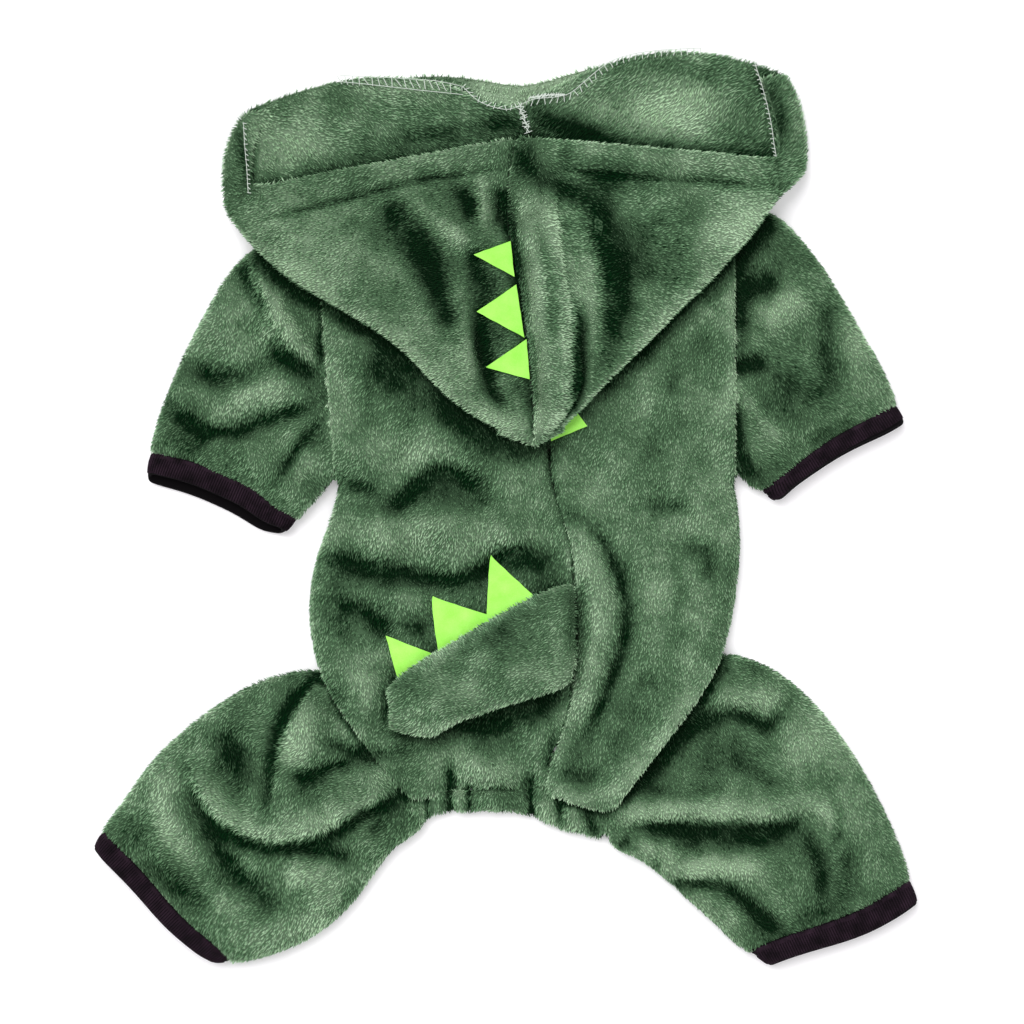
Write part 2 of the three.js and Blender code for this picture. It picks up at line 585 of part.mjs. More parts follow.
// One half of the hood: crown seam, over the top, round the side fold, under to the nape seam
function hoodPanel(name, side) {
  const topColumns = 7;
  const rollColumns = side > 0 ? 6 : 0;
  const underColumns = 5;
  const bendColumns = 4;
  const radius = HOOD_HEIGHT / 2;
  const openingPlace = HOOD_OPENING / (HOOD.length - 1);
  const openingStep = NOSE_STEPS + Math.round(openingPlace * HOOD_STEPS);
  const facingColumn = rollColumns + topColumns;
  const grid = [];
  for (let i = 0; i <= NOSE_STEPS + HOOD_STEPS; i += 1) {
    const step = Math.max(i - NOSE_STEPS, 0);
    const toOpening = step <= openingStep - NOSE_STEPS;
    const lower = (openingPlace * step) / (openingStep - NOSE_STEPS);
    const upperShare = (step - openingStep + NOSE_STEPS) / (HOOD_STEPS - openingStep + NOSE_STEPS);
    const row = station(HOOD, toOpening ? lower : mix(openingPlace, 1, upperShare));
    const nose = Math.min(i / NOSE_STEPS, 1) * (Math.PI / 2);
    const thin = Math.max(Math.sin(nose), HOOD_NOSE);
    const back = radius * Math.cos(nose);
    const edge = { x: side < 0 ? row.lx : row.rx, y: (side < 0 ? row.ly : row.ry) - back };
    const crown = { x: row.sx + (side * SEAM) / 2, y: row.sy - back };
    const nape = { x: row.nx + (side * SEAM) / 2, y: row.ny - back };
    const bow = side < 0 ? row.bowl : row.bowr;
    const topWidth = Math.hypot(edge.x - crown.x, edge.y - crown.y);
    const underWidth = Math.hypot(edge.x - nape.x, edge.y - nape.y);
    const rollWidth = rollColumns ? Math.min(ROLL_WIDTH, topWidth * ROLL_SHARE) : 0;
    const narrowFacing = (topWidth - rollWidth) * FACING_SHARE + radius * 0.6;
    const facingWidth = Math.min(FACING, narrowFacing);
    const fromOpening = HOOD[HOOD_OPENING].sy - row.sy;
    const casing = i <= openingStep ? CASING_RISE * smooth(1 - fromOpening / CASING_FADE) : 0;
    const points = [];
    const put = (inner, distance, level, rise) => {
      const plan = inward(edge, inner, distance);
      if (inner === nape) plan.y += bow * Math.sin((Math.PI * distance) / underWidth);
      const middle = hoodBase(plan.x, plan.y) + radius;
      const fade = smooth((distance - radius) / HOOD_FADE) * (level > 0 ? 1 : 0);
      const lifted = (foldHeight(HOOD_FOLDS, plan.x, plan.y) * fade + rise) * thin;
      points.push(new THREE.Vector3(plan.x, plan.y, middle + level * radius * thin + lifted));
    };
    for (let j = 0; j < rollColumns; j += 1) {
      const turn = (Math.PI * j) / rollColumns;
      const out = (rollWidth * (1 - Math.cos(turn))) / 2;
      put(crown, topWidth - out, 1, row.roll * Math.sin(turn) + casing);
    }
    for (let j = 0; j < topColumns; j += 1) {
      const distance = mix(topWidth - rollWidth, facingWidth, j / topColumns);
      put(crown, distance, 1, casing * smooth(distance / CASING_SIDE));
    }
    put(crown, facingWidth, 1, casing * smooth(facingWidth / CASING_SIDE));
    put(crown, mix(radius, facingWidth, FACING_FOLD), 1, 0);
    for (let j = 0; j <= bendColumns; j += 1) {
      const turn = (Math.PI * j) / bendColumns;
      const inner = j * 2 < bendColumns ? crown : nape;
      put(inner, radius * (1 - Math.sin(turn)), Math.cos(turn), 0);
    }
    for (let j = 1; j <= underColumns; j += 1) {
      put(nape, mix(radius, underWidth, j / underColumns), -1, 0);
    }
    grid.push(points);
  }
  const active = (i, j) => i < openingStep || j >= facingColumn;
  const atOpening = (i, j) => j <= facingColumn && (i === openingStep - 1 || i === openingStep);
  const wall = (i, j) => (atOpening(i, j) ? OPENING_WALL : WALL);
  const lastColumn = grid[0].length - 1;
  const trim = (inside, i, j) => {
    const seam = grid[i][j <= facingColumn ? 0 : lastColumn];
    inside.x = side * Math.max(side * inside.x, side * seam.x);
  };
  return clothWall(name, FLEECE, grid, { upColumn: rollColumns + 2, active, wall, trim });
}

// The tail lies on the back: an upper and an under panel, rounded at the root and the tip
function tailLevel(x, y) {
  return backTop(x, y) + LAYER_GAP + TAIL_HEIGHT / 2;
}

function tailPanel(name, level) {
  const steps = 12;
  const columns = 8;
  const radius = TAIL_HEIGHT / 2;
  const shoulder = radius * 1.6; // width over which a panel rounds up from its edge
  const round = (share) => Math.sqrt(1 - (1 - Math.min(share, 1)) ** 2);
  const grid = [];
  for (let i = 0; i <= steps; i += 1) {
    const place = (1 - Math.cos((Math.PI * i) / steps)) / 2;
    const row = station(TAIL, place);
    const thin = round((Math.min(place, 1 - place) * TAIL_LENGTH) / radius);
    const u = { x: row.ux, y: row.uy };
    const v = { x: row.vx, y: row.vy };
    const width = Math.hypot(v.x - u.x, v.y - u.y);
    const points = [];
    for (let j = 0; j <= columns; j += 1) {
      const turn = (Math.PI * j) / columns;
      const distance = (width * (1 - Math.cos(turn))) / 2;
      const bulge = round(Math.min(distance, width - distance) / shoulder) * (radius - TAIL_RIM) * thin;
      const plan = inward(u, v, distance);
      const z = tailLevel(plan.x, plan.y) + level * (SEAM / 2 + TAIL_RIM + bulge);
      points.push(new THREE.Vector3(plan.x, plan.y, z));
    }
    grid.push(points);
  }
  // The inside lies straight under the outside and ends at the seam between the panels
  const trim = (inside, i, j) => {
    const outside = grid[i][j];
    const rise = level * (outside.z - tailLevel(outside.x, outside.y));
    inside.copy(outside);
    inside.z -= level * Math.min(TAIL_WALL, rise - SEAM / 2);
  };
  return clothWall(name, FLEECE, grid, { upColumn: 4, faceDown: level < 0, wall: TAIL_WALL, trim });
}

// The casing is one strip folded under round its lower edge, drawn in by the elastic
function hemCasing() {
  const steps = 34;
  const topColumns = 3;
  const bendColumns = 3;
  const underColumns = 2;
  const grid = [];
  for (let i = 0; i <= steps; i += 1) {
    const place = i / steps;
    const edges = station(HEM, place);
    const nickAt = ({ at, depth }) => depth * Math.exp(-(((place - at) / NICK_WIDTH) ** 2));
    const nick = HEM_NICKS.reduce((sum, row) => sum + nickAt(row), 0);
    const radius = HEM_HEIGHT / 2;
    const top = { x: edges.ux, y: edges.uy };
    const edge = inward({ x: edges.vx, y: edges.vy }, top, nick);
    const width = Math.hypot(edge.x - top.x, edge.y - top.y);
    const points = [];
    const put = (distance, z) => {
      const plan = inward(edge, top, distance);
      points.push(new THREE.Vector3(plan.x, plan.y, z));
    };
    const crown = HEM_HEIGHT + HEM_PUFF - nick;
    for (let j = 0; j < topColumns; j += 1) {
      const share = j / topColumns;
      put(mix(width, radius, share), mix(HEM_HEIGHT, crown, Math.sin(Math.PI * share)));
    }
    for (let j = 0; j <= bendColumns; j += 1) {
      const turn = (Math.PI * j) / bendColumns;
      put(radius * (1 - Math.sin(turn)), radius + radius * Math.cos(turn));
    }
    for (let j = 1; j <= underColumns; j += 1) put(mix(radius, width * HEM_UNDER, j / underColumns), 0);
    grid.push(points);
  }
  return clothWall("hem_casing", FLEECE, grid, { upColumn: 1, wall: HEM_WALL });
}

// A felt triangle between a base line and an apex, its underside at the given height
function spike(name, baseAt, apex, heightAt) {
  const steps = 3;
  const columns = 2;
  const grid = [];
  for (let i = 0; i <= steps; i += 1) {
    const up = i / steps;
    const points = [];
    for (let j = 0; j <= columns; j += 1) {
      const base = baseAt(j / columns);
      const x = mix(base.x, apex.x, up * (1 - SPIKE_TIP));
      const y = mix(base.y, apex.y, up * (1 - SPIKE_TIP));
      points.push(new THREE.Vector3(x, y, heightAt(x, y, up) + FELT));
    }
    grid.push(points);
  }
  const trim = (inside, i, j) => {
    inside.copy(grid[i][j]);
    inside.z -= FELT;
  };
  return clothWall(name, LIME_FELT, grid, { upColumn: 1, wall: FELT, trim });
}

function flatSpike(name, row, heightAt) {
  const baseAt = (t) => ({ x: mix(row.px, row.qx, t), y: mix(row.py, row.qy, t) });
  return spike(name, baseAt, { x: row.ax, y: row.ay }, heightAt);
}

function tailSpike(name, row) {
  const clear = SEAM + 0.2;
  const baseAt = (t) => {
    const at = station(TAIL, mix(row.from, row.to, t));
    return inward({ x: at.ux, y: at.uy }, { x: at.vx, y: at.vy }, -clear);
  };
  const heightAt = (x, y, up) => {
    const seam = tailLevel(x, y) - FELT / 2;
    return mix(seam, backTop(x, y) + LAYER_GAP, smooth(up * 1.1));
  };
  return spike(name, baseAt, { x: row.ax, y: row.ay }, heightAt);
}

const onHood = (x, y) => hoodTop(x, y) + SPIKE_GAP;
const costume = new THREE.Group();
costume.add(
  backPanel("back_left", -1),
  backPanel("back_right", 1),
  belly(),
  tube("sleeve_left", SLEEVE_LEFT, SLEEVE_LEFT_FOLDS, SLEEVE_STEPS),
  tube("sleeve_right", SLEEVE_RIGHT, SLEEVE_RIGHT_FOLDS, SLEEVE_STEPS),
  tube("leg_left", LEG_LEFT, LEG_LEFT_FOLDS, LEG_STEPS),
  tube("leg_right", LEG_RIGHT, LEG_RIGHT_FOLDS, LEG_STEPS),
  cuff("cuff_front_left", SLEEVE_LEFT, 4),
  cuff("cuff_front_right", SLEEVE_RIGHT, 1),
  cuff("cuff_hind_left", LEG_LEFT, 1),
  cuff("cuff_hind_right", LEG_RIGHT, 1),
  hoodPanel("hood_left", -1),
  hoodPanel("hood_right", 1),
  tailPanel("tail_upper", 1),
  tailPanel("tail_under", -1),
  hemCasing(),
  ...HOOD_SPIKES.map((row, k) => flatSpike(`spike_hood_${k + 1}`, row, onHood)),
  ...BACK_SPIKE.map((row) => flatSpike("spike_back_1", row, () => BODY_HEIGHT + SEAM)),
  ...TAIL_SPIKES.map((row, k) => tailSpike(`spike_tail_${k + 1}`, row)),
);

// The origin is at the middle of the underside
const box = new THREE.Box3().setFromObject(costume);
const centre = box.getCenter(new THREE.Vector3());
costume.position.set(-centre.x, -centre.y, -box.min.z);
costume.updateMatrixWorld(true);

export default costume;
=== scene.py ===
"""Dresses the frame of a dinosaur costume for a dog: pile cloth, rib bindings, felt spikes and stitches."""

import math

import bmesh
import bpy
import numpy as np
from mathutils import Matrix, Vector
from mathutils.bvhtree import BVHTree


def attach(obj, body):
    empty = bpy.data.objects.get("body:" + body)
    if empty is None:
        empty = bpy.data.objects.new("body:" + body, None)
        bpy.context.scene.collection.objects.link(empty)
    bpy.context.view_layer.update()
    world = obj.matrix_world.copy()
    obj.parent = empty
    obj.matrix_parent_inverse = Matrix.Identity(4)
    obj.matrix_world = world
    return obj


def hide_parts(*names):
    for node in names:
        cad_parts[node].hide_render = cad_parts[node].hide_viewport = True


bl_info = {
    "name": "Dog Costume Looks",
    "version": (1, 0, 0),
    "blender": (4, 5, 0),
    "location": "View3D > Sidebar > Costume",
    "description": "Pile cloth, rib bindings, felt spikes and stitches for a fleece dog costume laid flat",
    "category": "Object",
}

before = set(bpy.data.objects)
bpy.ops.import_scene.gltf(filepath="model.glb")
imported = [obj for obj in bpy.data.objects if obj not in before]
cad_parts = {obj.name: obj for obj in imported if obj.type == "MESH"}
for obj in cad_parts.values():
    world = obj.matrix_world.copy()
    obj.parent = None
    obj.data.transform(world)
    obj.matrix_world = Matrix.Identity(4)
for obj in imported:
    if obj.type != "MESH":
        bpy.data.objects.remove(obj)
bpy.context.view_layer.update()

MM = 0.001
BODY = "root"

# Creases of the cloth, in millimetres: the rise of the cloth, how far it falls off on the left and
# right of the path, how much lighter or darker the pile is along it, partly as brushed nap and partly
# as painted shade in troughs and under edges and painted highlight on ridges, and the path itself.

SLEEVE_LEFT_CREASES = (
    (-2, 2, 5, -1.4, ((-117, 113), (-113, 104), (-108, 95), (-103, 88))),
    (3, 5, 3, 0.6, ((-114, 110), (-107, 97), (-100, 85), (-92, 74), (-83, 63))),
    (0, 5, 4, -1.3, ((-112, 117), (-101, 106), (-92, 99), (-86, 93))),
    (-0.6, 2, 2, -0.9, ((-81, 93), (-82, 78), (-82, 62))),
    (-0.8, 4, 4, -0.5, ((-122, 83), (-106, 82))),
    (-1.4, 3.5, 5, -0.9, ((-140, 66), (-130, 61), (-117, 61), (-105, 67))),
    (-2.4, 2.5, 7, -1.5, ((-106, 76), (-98, 71), (-90, 66), (-82, 60))),
    (1.8, 6, 6, 0.6, ((-144, 54), (-126, 49), (-110, 52), (-92, 56))),
    (-2.2, 3, 5, -1.4, ((-150, 49), (-141, 41), (-132, 35), (-120, 36), (-107, 41), (-94, 45), (-80, 49))),
    (0, 9, 9, -0.7, ((-153, 36), (-143, 31), (-133, 27))),
    (0.6, 5, 5, 0.15, ((-118, 25), (-107, 13))),
    (-1.4, 2, 3, -1.2, ((-79, 43), (-87, 34), (-94, 24), (-101, 13))),
    (0, 5, 5, -1.0, ((-90, 29), (-79, 35))),
    (0.6, 4, 4, 0.3, ((-94, 15), (-85, 22))),
    (0.6, 8, 8, 0.35, ((-132, 95), (-142, 76), (-150, 60))),
    (0.6, 5, 5, 0.25, ((-118, 94), (-110, 84))),
)
SLEEVE_RIGHT_CREASES = (
    (0, 4, 7, -1.4, ((104, 112), (112, 122), (121, 133))),
    (-1.2, 4, 4, -1.4, ((105, 111), (107, 100), (108, 88), (107, 77))),
    (-1.6, 6, 7, -1.3, ((108, 100), (117, 101), (123, 106))),
    (2, 10, 9, 0.75, ((115, 82), (126, 87), (138, 99))),
    (0.8, 6, 6, 0.3, ((112, 110), (122, 114))),
    (-1.4, 5, 5, -1.0, ((148, 96), (146, 85), (145, 72), (148, 60))),
    (0, 9, 9, -0.55, ((152, 64), (142, 50), (147, 38))),
    (-1.8, 3, 4, -1.4, ((104, 62), (110, 66), (119, 67))),
    (0.8, 4, 4, 0.3, ((110, 74), (117, 73))),
    (0, 10, 10, -0.25, ((118, 56), (134, 50))),
    (1.4, 3, 3, 0.5, ((105, 55), (112, 47), (119, 38), (127, 28))),
    (-1.8, 3, 3.5, -1.4, ((106, 49), (106, 38), (107, 27), (111, 19), (118, 13))),
    (0.8, 5, 5, 0.35, ((114, 34), (121, 23))),
    (-0.8, 4, 4, -0.7, ((135, 28), (150, 37), (162, 43))),
    (0.8, 7, 7, 0.4, ((158, 72), (166, 60), (174, 49))),
)
LEG_LEFT_CREASES = (
    (-1.2, 6, 6, -0.9, ((-125, -97), (-122, -110), (-119, -122))),
    (0, 12, 12, -0.45, ((-120, -104), (-112, -126))),
    (2.4, 12, 2.5, 0.4, ((-83, -80), (-91, -90), (-97, -102), (-99, -114))),
    (-1.4, 1.5, 5, -1.3, ((-77, -78), (-85, -78), (-92, -87), (-98, -98), (-102, -112), (-104, -125), (-105, -138))),
    (0, 7, 7, 0.45, ((-90, -94), (-92, -110))),
    (2.2, 8, 2.5, 0.7, (
        (-138, -108), (-138, -121), (-131, -134), (-119, -143), (-104, -147), (-90, -146), (-76, -140), (-62, -132),
        (-49, -124), (-37, -117),
    )),
    (-1.8, 2, 4, -1.3, (
        (-141, -118), (-138, -131), (-129, -141), (-116, -149), (-101, -152), (-88, -151), (-76, -145), (-62, -137),
        (-50, -130), (-40, -126),
    )),
    (-1.6, 3, 2.5, -1.1, ((-80, -104), (-70, -108), (-60, -112), (-49, -109))),
    (-1.2, 3, 3, -1.1, ((-98, -118), (-88, -120), (-75, -115), (-62, -112))),
    (0, 6, 6, -0.5, ((-97, -127), (-80, -125))),
    (1.2, 5, 5, 0.3, ((-80, -125), (-60, -119), (-44, -116))),
    (-1.2, 5, 4, -1.5, ((-92, -152), (-80, -154), (-66, -158))),
    (1.4, 6, 6, 0.7, ((-155, -116), (-153, -134), (-146, -149), (-135, -163))),
    (-1.2, 5, 5, -0.9, ((-137, -139), (-129, -151), (-119, -163), (-113, -169))),
    (-1.4, 7, 7, -1.1, ((-165, -155), (-151, -165), (-141, -173), (-134, -186))),
    (-1, 6, 6, -0.85, ((-126, -166), (-112, -171), (-98, -181))),
    (1.2, 9, 9, 0.5, ((-126, -190), (-105, -190), (-86, -182), (-70, -169))),
    (1.2, 8, 8, 0.45, ((-97, -162), (-78, -166))),
    (0, 7, 7, -0.35, ((-170, -139), (-160, -148))),
    (0.8, 8, 8, 0.3, ((-138, -92), (-112, -80))),
    (-1, 2, 2.4, -0.8, ((-60, -146), (-52, -140))),
    (0, 4, 4, -0.4, ((-73, -183), (-60, -172))),
)
LEG_RIGHT_CREASES = (
    (-1, 7, 3, -1.5, ((98, -75), (88, -88), (79, -99), (68, -112), (58, -123))),
    (0, 6, 5, -0.8, ((58, -123), (48, -130), (39, -138))),
    (2.2, 8, 2.4, 0.6, ((86, -90), (98, -85), (110, -86), (122, -87))),
    (-1.6, 2, 5, -1.5, ((84, -98), (93, -94), (103, -91), (112, -93), (119, -97), (127, -88))),
    (0, 12, 12, -0.4, ((88, -108), (108, -112))),
    (-0.8, 4, 4, -0.7, ((104, -111), (114, -119), (124, -125))),
    (-0.6, 4, 4, -0.6, ((58, -125), (76, -127), (106, -127))),
    (2.4, 7, 2.6, 0.9, (
        (46, -137), (60, -138), (80, -136), (100, -137), (120, -137), (139, -134), (148, -139), (147, -151),
    )),
    (0, 11, 11, 0.5, ((126, -88), (132, -105), (128, -124))),
    (-3, 1.8, 6.5, -1.6, ((60, -143), (75, -142), (90, -143), (110, -143), (127, -142), (137, -144))),
    (0, 5, 5, -0.9, ((92, -150), (108, -150), (122, -149))),
    (-1.6, 4, 4, -1.1, ((134, -145), (142, -155), (144, -166), (144, -180))),
    (1.2, 5, 5, 0.6, ((60, -151), (71, -152), (78, -161))),
    (0, 4, 4, -0.5, ((87, -149), (90, -157))),
    (1.8, 5, 4, 0.8, ((78, -163), (94, -160), (110, -162), (121, -161))),
    (-2.2, 2, 3.5, -1.4, ((76, -168), (90, -168), (101, -168))),
    (-2.4, 3, 5, -1.4, ((98, -168), (106, -173), (114, -180), (122, -187), (127, -192))),
    (1, 6, 6, 0.5, ((113, -166), (127, -176))),
    (0.8, 7, 7, 0.35, ((84, -174), (98, -184), (110, -193))),
    (-1.2, 2.4, 2.4, -0.7, ((148, -127), (152, -136), (151, -147), (146, -155))),
    (-0.8, 6, 6, -0.7, ((155, -150), (155, -164), (151, -177))),
    (0.6, 10, 10, 0.3, ((158, -122), (168, -146))),
    (-1, 2, 2, -1.1, ((58, -147), (52, -153))),
    (-1, 2, 2, -0.7, ((72, -158), (66, -163))),
    (-0.6, 5, 5, -0.5, ((130, -186), (146, -181), (160, -174))),
)
BACK_CREASES = (
    (0, 6, 7, -1.4, ((-32, 53), (-19, 40), (-7, 31), (7, 27), (20, 28))),
    (-1.2, 2.2, 2, -0.9, ((21, 31), (22, 16), (25, 5))),
    (-1.8, 4, 6, -1.5, ((-57, 3), (-47, 3), (-40, 11), (-30, 18), (-18, 16), (-8, 9))),
    (0, 7, 7, -0.4, ((-45, 4), (-18, 8))),
    (-0.8, 4, 4, -0.9, ((-70, 12), (-55, 9))),
    (0, 3, 3, -0.6, ((-49, -9), (-45, -11))),
    (2, 8, 8, 0.45, ((-72, -8), (-52, -10), (-35, -7), (-17, -10), (2, -11), (18, -9))),
    (-2.4, 3, 5, -1.6, (
        (-86, -19), (-75, -21), (-62, -24), (-47, -27), (-36, -30), (-21, -31), (-8, -27), (0, -20), (12, -17),
        (24, -21),
    )),
    (0, 5, 6, -1.2, ((0, -24), (12, -24), (23, -26))),
    (0, 5, 6, -0.7, ((-66, -28), (-45, -33))),
    (1.2, 5, 5, 0.5, ((-74, -34), (-58, -37), (-41, -40), (-31, -42))),
    (-1.4, 4, 5, -1.1, ((-76, -40), (-63, -44), (-55, -51), (-49, -60))),
    (-1, 4, 4, -1.0, ((-46, -51), (-33, -55))),
    (0, 6, 6, -0.4, ((-78, -50), (-68, -60))),
    (0.8, 7, 7, 0.3, ((-62, -72), (-60, -92))),
    (-1.8, 4.5, 3, -1.0, (
        (25, 4), (34, -4), (45, -13), (51, -25), (56, -42), (55, -58), (50, -73), (44, -88), (38, -101), (31, -111),
    )),
    (1.6, 7, 7, 0.5, ((31, -12), (42, -28), (45, -45), (42, -65), (35, -86), (27, -104))),
    (-1, 3, 3, -0.8, ((64, 2), (73, 2), (84, 0))),
    (-0.8, 5, 4, -0.7, ((80, -15), (92, -19), (94, -33))),
    (-0.6, 3, 3, -0.45, ((78, -22), (80, -36), (79, -48))),
    (-0.8, 4, 4, -0.7, ((60, -77), (71, -77))),
    (-0.4, 8, 8, -0.35, ((66, -88), (56, -104), (44, -110))),
    (1.6, 6, 6, 0.6, ((98, -68), (84, -89), (66, -114), (49, -127), (35, -136))),
    (-1.2, 4, 4, -0.9, ((24, -119), (36, -121), (45, -120))),
    (-1, 6, 5, -1.5, ((-22, -99), (2, -92), (28, -85))),
    (0, 8, 8, -0.6, ((-16, -105), (10, -101))),
    (2, 6, 6, 0.55, ((-17, -112), (-4, -119), (8, -119))),
    (2, 6, 6, 0.5, ((22, -125), (30, -132), (38, -135))),
    (-2.4, 3, 3, -1.3, ((-24, -114), (-23, -122), (-24, -131))),
    (-2.2, 2.5, 2.5, -1.3, ((13, -119), (13, -125), (15, -132))),
    (-1.5, 2, 2, -0.9, ((-15, -122), (-14, -131))),
    (-1.2, 2.4, 2.4, -1.1, ((24, -99), (22, -108), (20, -118))),
    (-1.6, 3, 3, -0.9, ((-70, -104), (-57, -110), (-40, -108))),
    (-1.2, 3, 3, -0.9, ((-80, -77), (-76, -89), (-70, -97))),
    (0.8, 8, 8, 0.25, ((41, 23), (61, 14), (83, 20))),
    (1, 6, 6, 0.4, ((101, 24), (102, 1), (100, -23))),
    (0.8, 8, 8, 0.3, ((67, -14), (64, -44), (70, -62))),
    (0.8, 8, 8, 0.3, ((-66, 34), (-60, 22))),
    (0.6, 8, 8, 0.35, ((-40, 30), (-20, 24))),
    (0.8, 8, 8, 0.35, ((8, 20), (12, 6), (14, -4))),
)
BACK_UPPER_CREASES = (
    (-0.6, 5, 5, -0.6, ((82, 94), (70, 80), (58, 66))),
    (-0.4, 5, 5, -0.35, ((92, 82), (90, 70))),
    (-0.4, 3, 3, -0.7, ((76, 60), (77, 54))),
    (-0.4, 4, 4, -0.5, ((80, 45), (83, 36))),
    (0.8, 4, 4, 0.5, ((101, 108), (104, 92), (104, 62), (103, 41))),
    (0.8, 8, 8, 0.3, ((70, 70), (67, 50), (72, 37))),
)
BACK_UPPER_LEFT = (
    (-1, 6, 4, -1.1, ((-76, 88), (-60, 82), (-50, 73), (-40, 62))),
    (0, 8, 8, -0.6, ((-62, 72), (-52, 60), (-46, 48))),
    (1, 6, 6, 0.45, ((-77, 76), (-75, 60), (-73, 41))),
    (-0.6, 6, 6, -0.5, ((-48, 66), (-42, 53), (-30, 42))),
)
HOOD_LEFT_CREASES = (
    (-1.4, 9, 9, -1.1, ((-52, 139), (-43, 125), (-35, 110))),
    (-2.6, 8, 5, -1.5, ((-38, 118), (-31, 105), (-27, 93), (-23, 78))),
    (1.6, 4, 4, 0.8, ((-43, 141), (-31, 130), (-18, 121), (-12, 118))),
    (2.2, 4, 4, 0.7, ((-17, 104), (-20, 94), (-17, 83), (-16, 71), (-14, 57))),
    (0, 6, 6, -1.0, ((-13, 110), (-8, 97), (-10, 84))),
    (-2.2, 4, 4, -1.3, ((-10, 86), (-8, 70), (-4, 54), (3, 43))),
    (0.8, 3, 3, 0.4, ((-2, 60), (3, 50))),
    (1.4, 5, 5, 0.6, ((-12, 46), (0, 40), (8, 38))),
    (-2, 4, 4, -1.3, ((-19, 146), (-15, 137), (-12, 127))),
    (1.8, 3, 3, 0.8, ((-6, 150), (-8, 138), (-8, 127))),
    (-2, 3, 3, -1.2, ((-2, 146), (0, 133), (2, 125))),
    (-0.8, 5, 5, -0.8, ((-14, 117), (-10, 110))),
    (-1.5, 1.6, 1.8, -0.8, (
        (-115, 128), (-91, 134), (-67, 140), (-49, 145), (-28, 149), (4, 154),
    )),
    (0, 5, 5, 0.35, ((-112, 137), (-80, 146), (-45, 156), (0, 162))),
    (-0.4, 3, 3, -0.4, ((-62, 154), (-60, 146))),
    (-0.4, 4, 4, -0.35, ((-36, 158), (-34, 147))),
    (1.2, 18, 18, 0.45, ((-100, 122), (-80, 108), (-64, 98))),
    (1, 5, 4, 0.6, ((-111, 121), (-95, 108), (-78, 94), (-60, 84), (-44, 74), (-32, 57), (-14, 44), (0, 37))),
    (-0.6, 4, 4, -0.8, ((6, 165), (9, 156))),
    (-0.4, 3, 3, -0.4, ((-91, 132), (-89, 120))),
)
HOOD_RIGHT_CREASES = (
    (-0.6, 5, 5, -1.1, ((8, 166), (10, 156), (17, 148), (28, 143), (38, 138))),
    (0, 4, 4, -0.5, ((27, 162), (29, 155))),
    (0, 5, 5, -0.4, ((54, 161), (62, 155))),
    (-1.5, 1.6, 1.8, -0.8, (
        (20, 154), (47, 150), (63, 149), (82, 148), (98, 147), (107, 146), (124, 144),
    )),
    (0, 4, 4, 0.5, ((18, 164), (50, 160), (90, 157), (122, 154))),
    (0, 5, 5, -0.45, ((30, 148), (46, 146), (70, 144))),
    (-1.0, 2.5, 2.5, -1.0, ((2, 147), (4, 131), (6, 114), (8, 96), (10, 73), (12, 56), (11, 45))),
    (1.0, 4, 4, 0.6, ((9, 141), (13, 125), (15, 106), (17, 84), (19, 62), (18, 47))),
    (0, 2.4, 2.4, -0.35, ((12, 128), (20, 112), (22, 92), (23, 72))),
    (1.6, 5, 5, 0.75, ((18, 138), (25, 122), (31, 104), (33, 86))),
    (0.8, 3, 3, 0.6, ((27, 84), (29, 66), (28, 50))),
    (-1.8, 2.5, 2.5, -1.2, ((35, 92), (34, 76), (34, 60), (32, 46))),
    (1.2, 3.5, 3.5, 0.55, ((36, 128), (40, 108), (42, 88), (40, 66), (37, 52))),
    (-2.4, 7, 8, -1.5, ((38, 142), (45, 128), (50, 112), (52, 95), (50, 80), (46, 68))),
    (0, 14, 14, -0.45, ((58, 134), (68, 116), (66, 96))),
    (1.2, 12, 12, 0.55, ((88, 110), (104, 124), (116, 136))),
    (1, 4, 5, 0.6, ((121, 138), (102, 112), (80, 90), (59, 67), (38, 46))),
    (0.6, 4, 4, 0.6, ((10, 37), (20, 37), (30, 43))),
    (-0.4, 10, 10, -0.3, ((78, 140), (80, 126))),
    (-0.4, 3, 3, -0.4, ((96, 152), (98, 140))),
)
# Lightens the strip in front of the neck, against the painted shade that the hood's nearby edge puts there.
NECK_FRONT = (
    (0, 9, 9, 2.4, ((-16, 194), (0, 190), (14, 188), (28, 190), (40, 196))),
)
HOOD_INSIDE_LEFT = (
    (-0.8, 4, 5, -0.7, ((-60, 162), (-36, 168), (-12, 172), (9, 173))),
    (0.8, 14, 14, 0.5, ((-108, 160), (-92, 168), (-74, 172))),
    (-0.5, 2.4, 2.4, -1.0, ((-119, 174), (-117, 160), (-115, 146))),
    (0, 12, 12, -0.35, ((-50, 176), (-18, 180))),
    (0.6, 5, 5, 0.4, ((-76, 193), (-46, 190), (-20, 188))),
    (-0.5, 4, 4, -0.7, ((-6, 176), (8, 174))),
)
HOOD_INSIDE_RIGHT = (
    (-1, 5, 4, -1.4, ((13, 181), (22, 174), (34, 169), (50, 165))),
    (1, 16, 16, 0.7, ((50, 182), (74, 182), (98, 180))),
    (0, 8, 8, 0.3, ((70, 170), (104, 166))),
    (-0.5, 3, 5, -0.8, ((120, 196), (125, 182), (127, 164))),
    (-0.5, 6, 6, -0.35, ((66, 197), (86, 196), (104, 192))),
)
TAIL_CREASES = (
    (-0.8, 5, 5, -0.8, ((31, -34), (34, -48), (34, -66))),
    (-0.5, 8, 8, -0.6, ((2, -50), (-8, -62))),
    (0, 7, 7, -0.45, ((20, -52), (10, -66))),
    (0.8, 8, 8, 0.4, ((-46, -84), (-30, -86), (-4, -78))),
    (0, 3, 3, 0.4, ((-42, -72), (-14, -56), (8, -42))),
    (0, 3, 3, 0.5, ((-46, -94), (-36, -100), (-18, -95), (10, -86))),
)
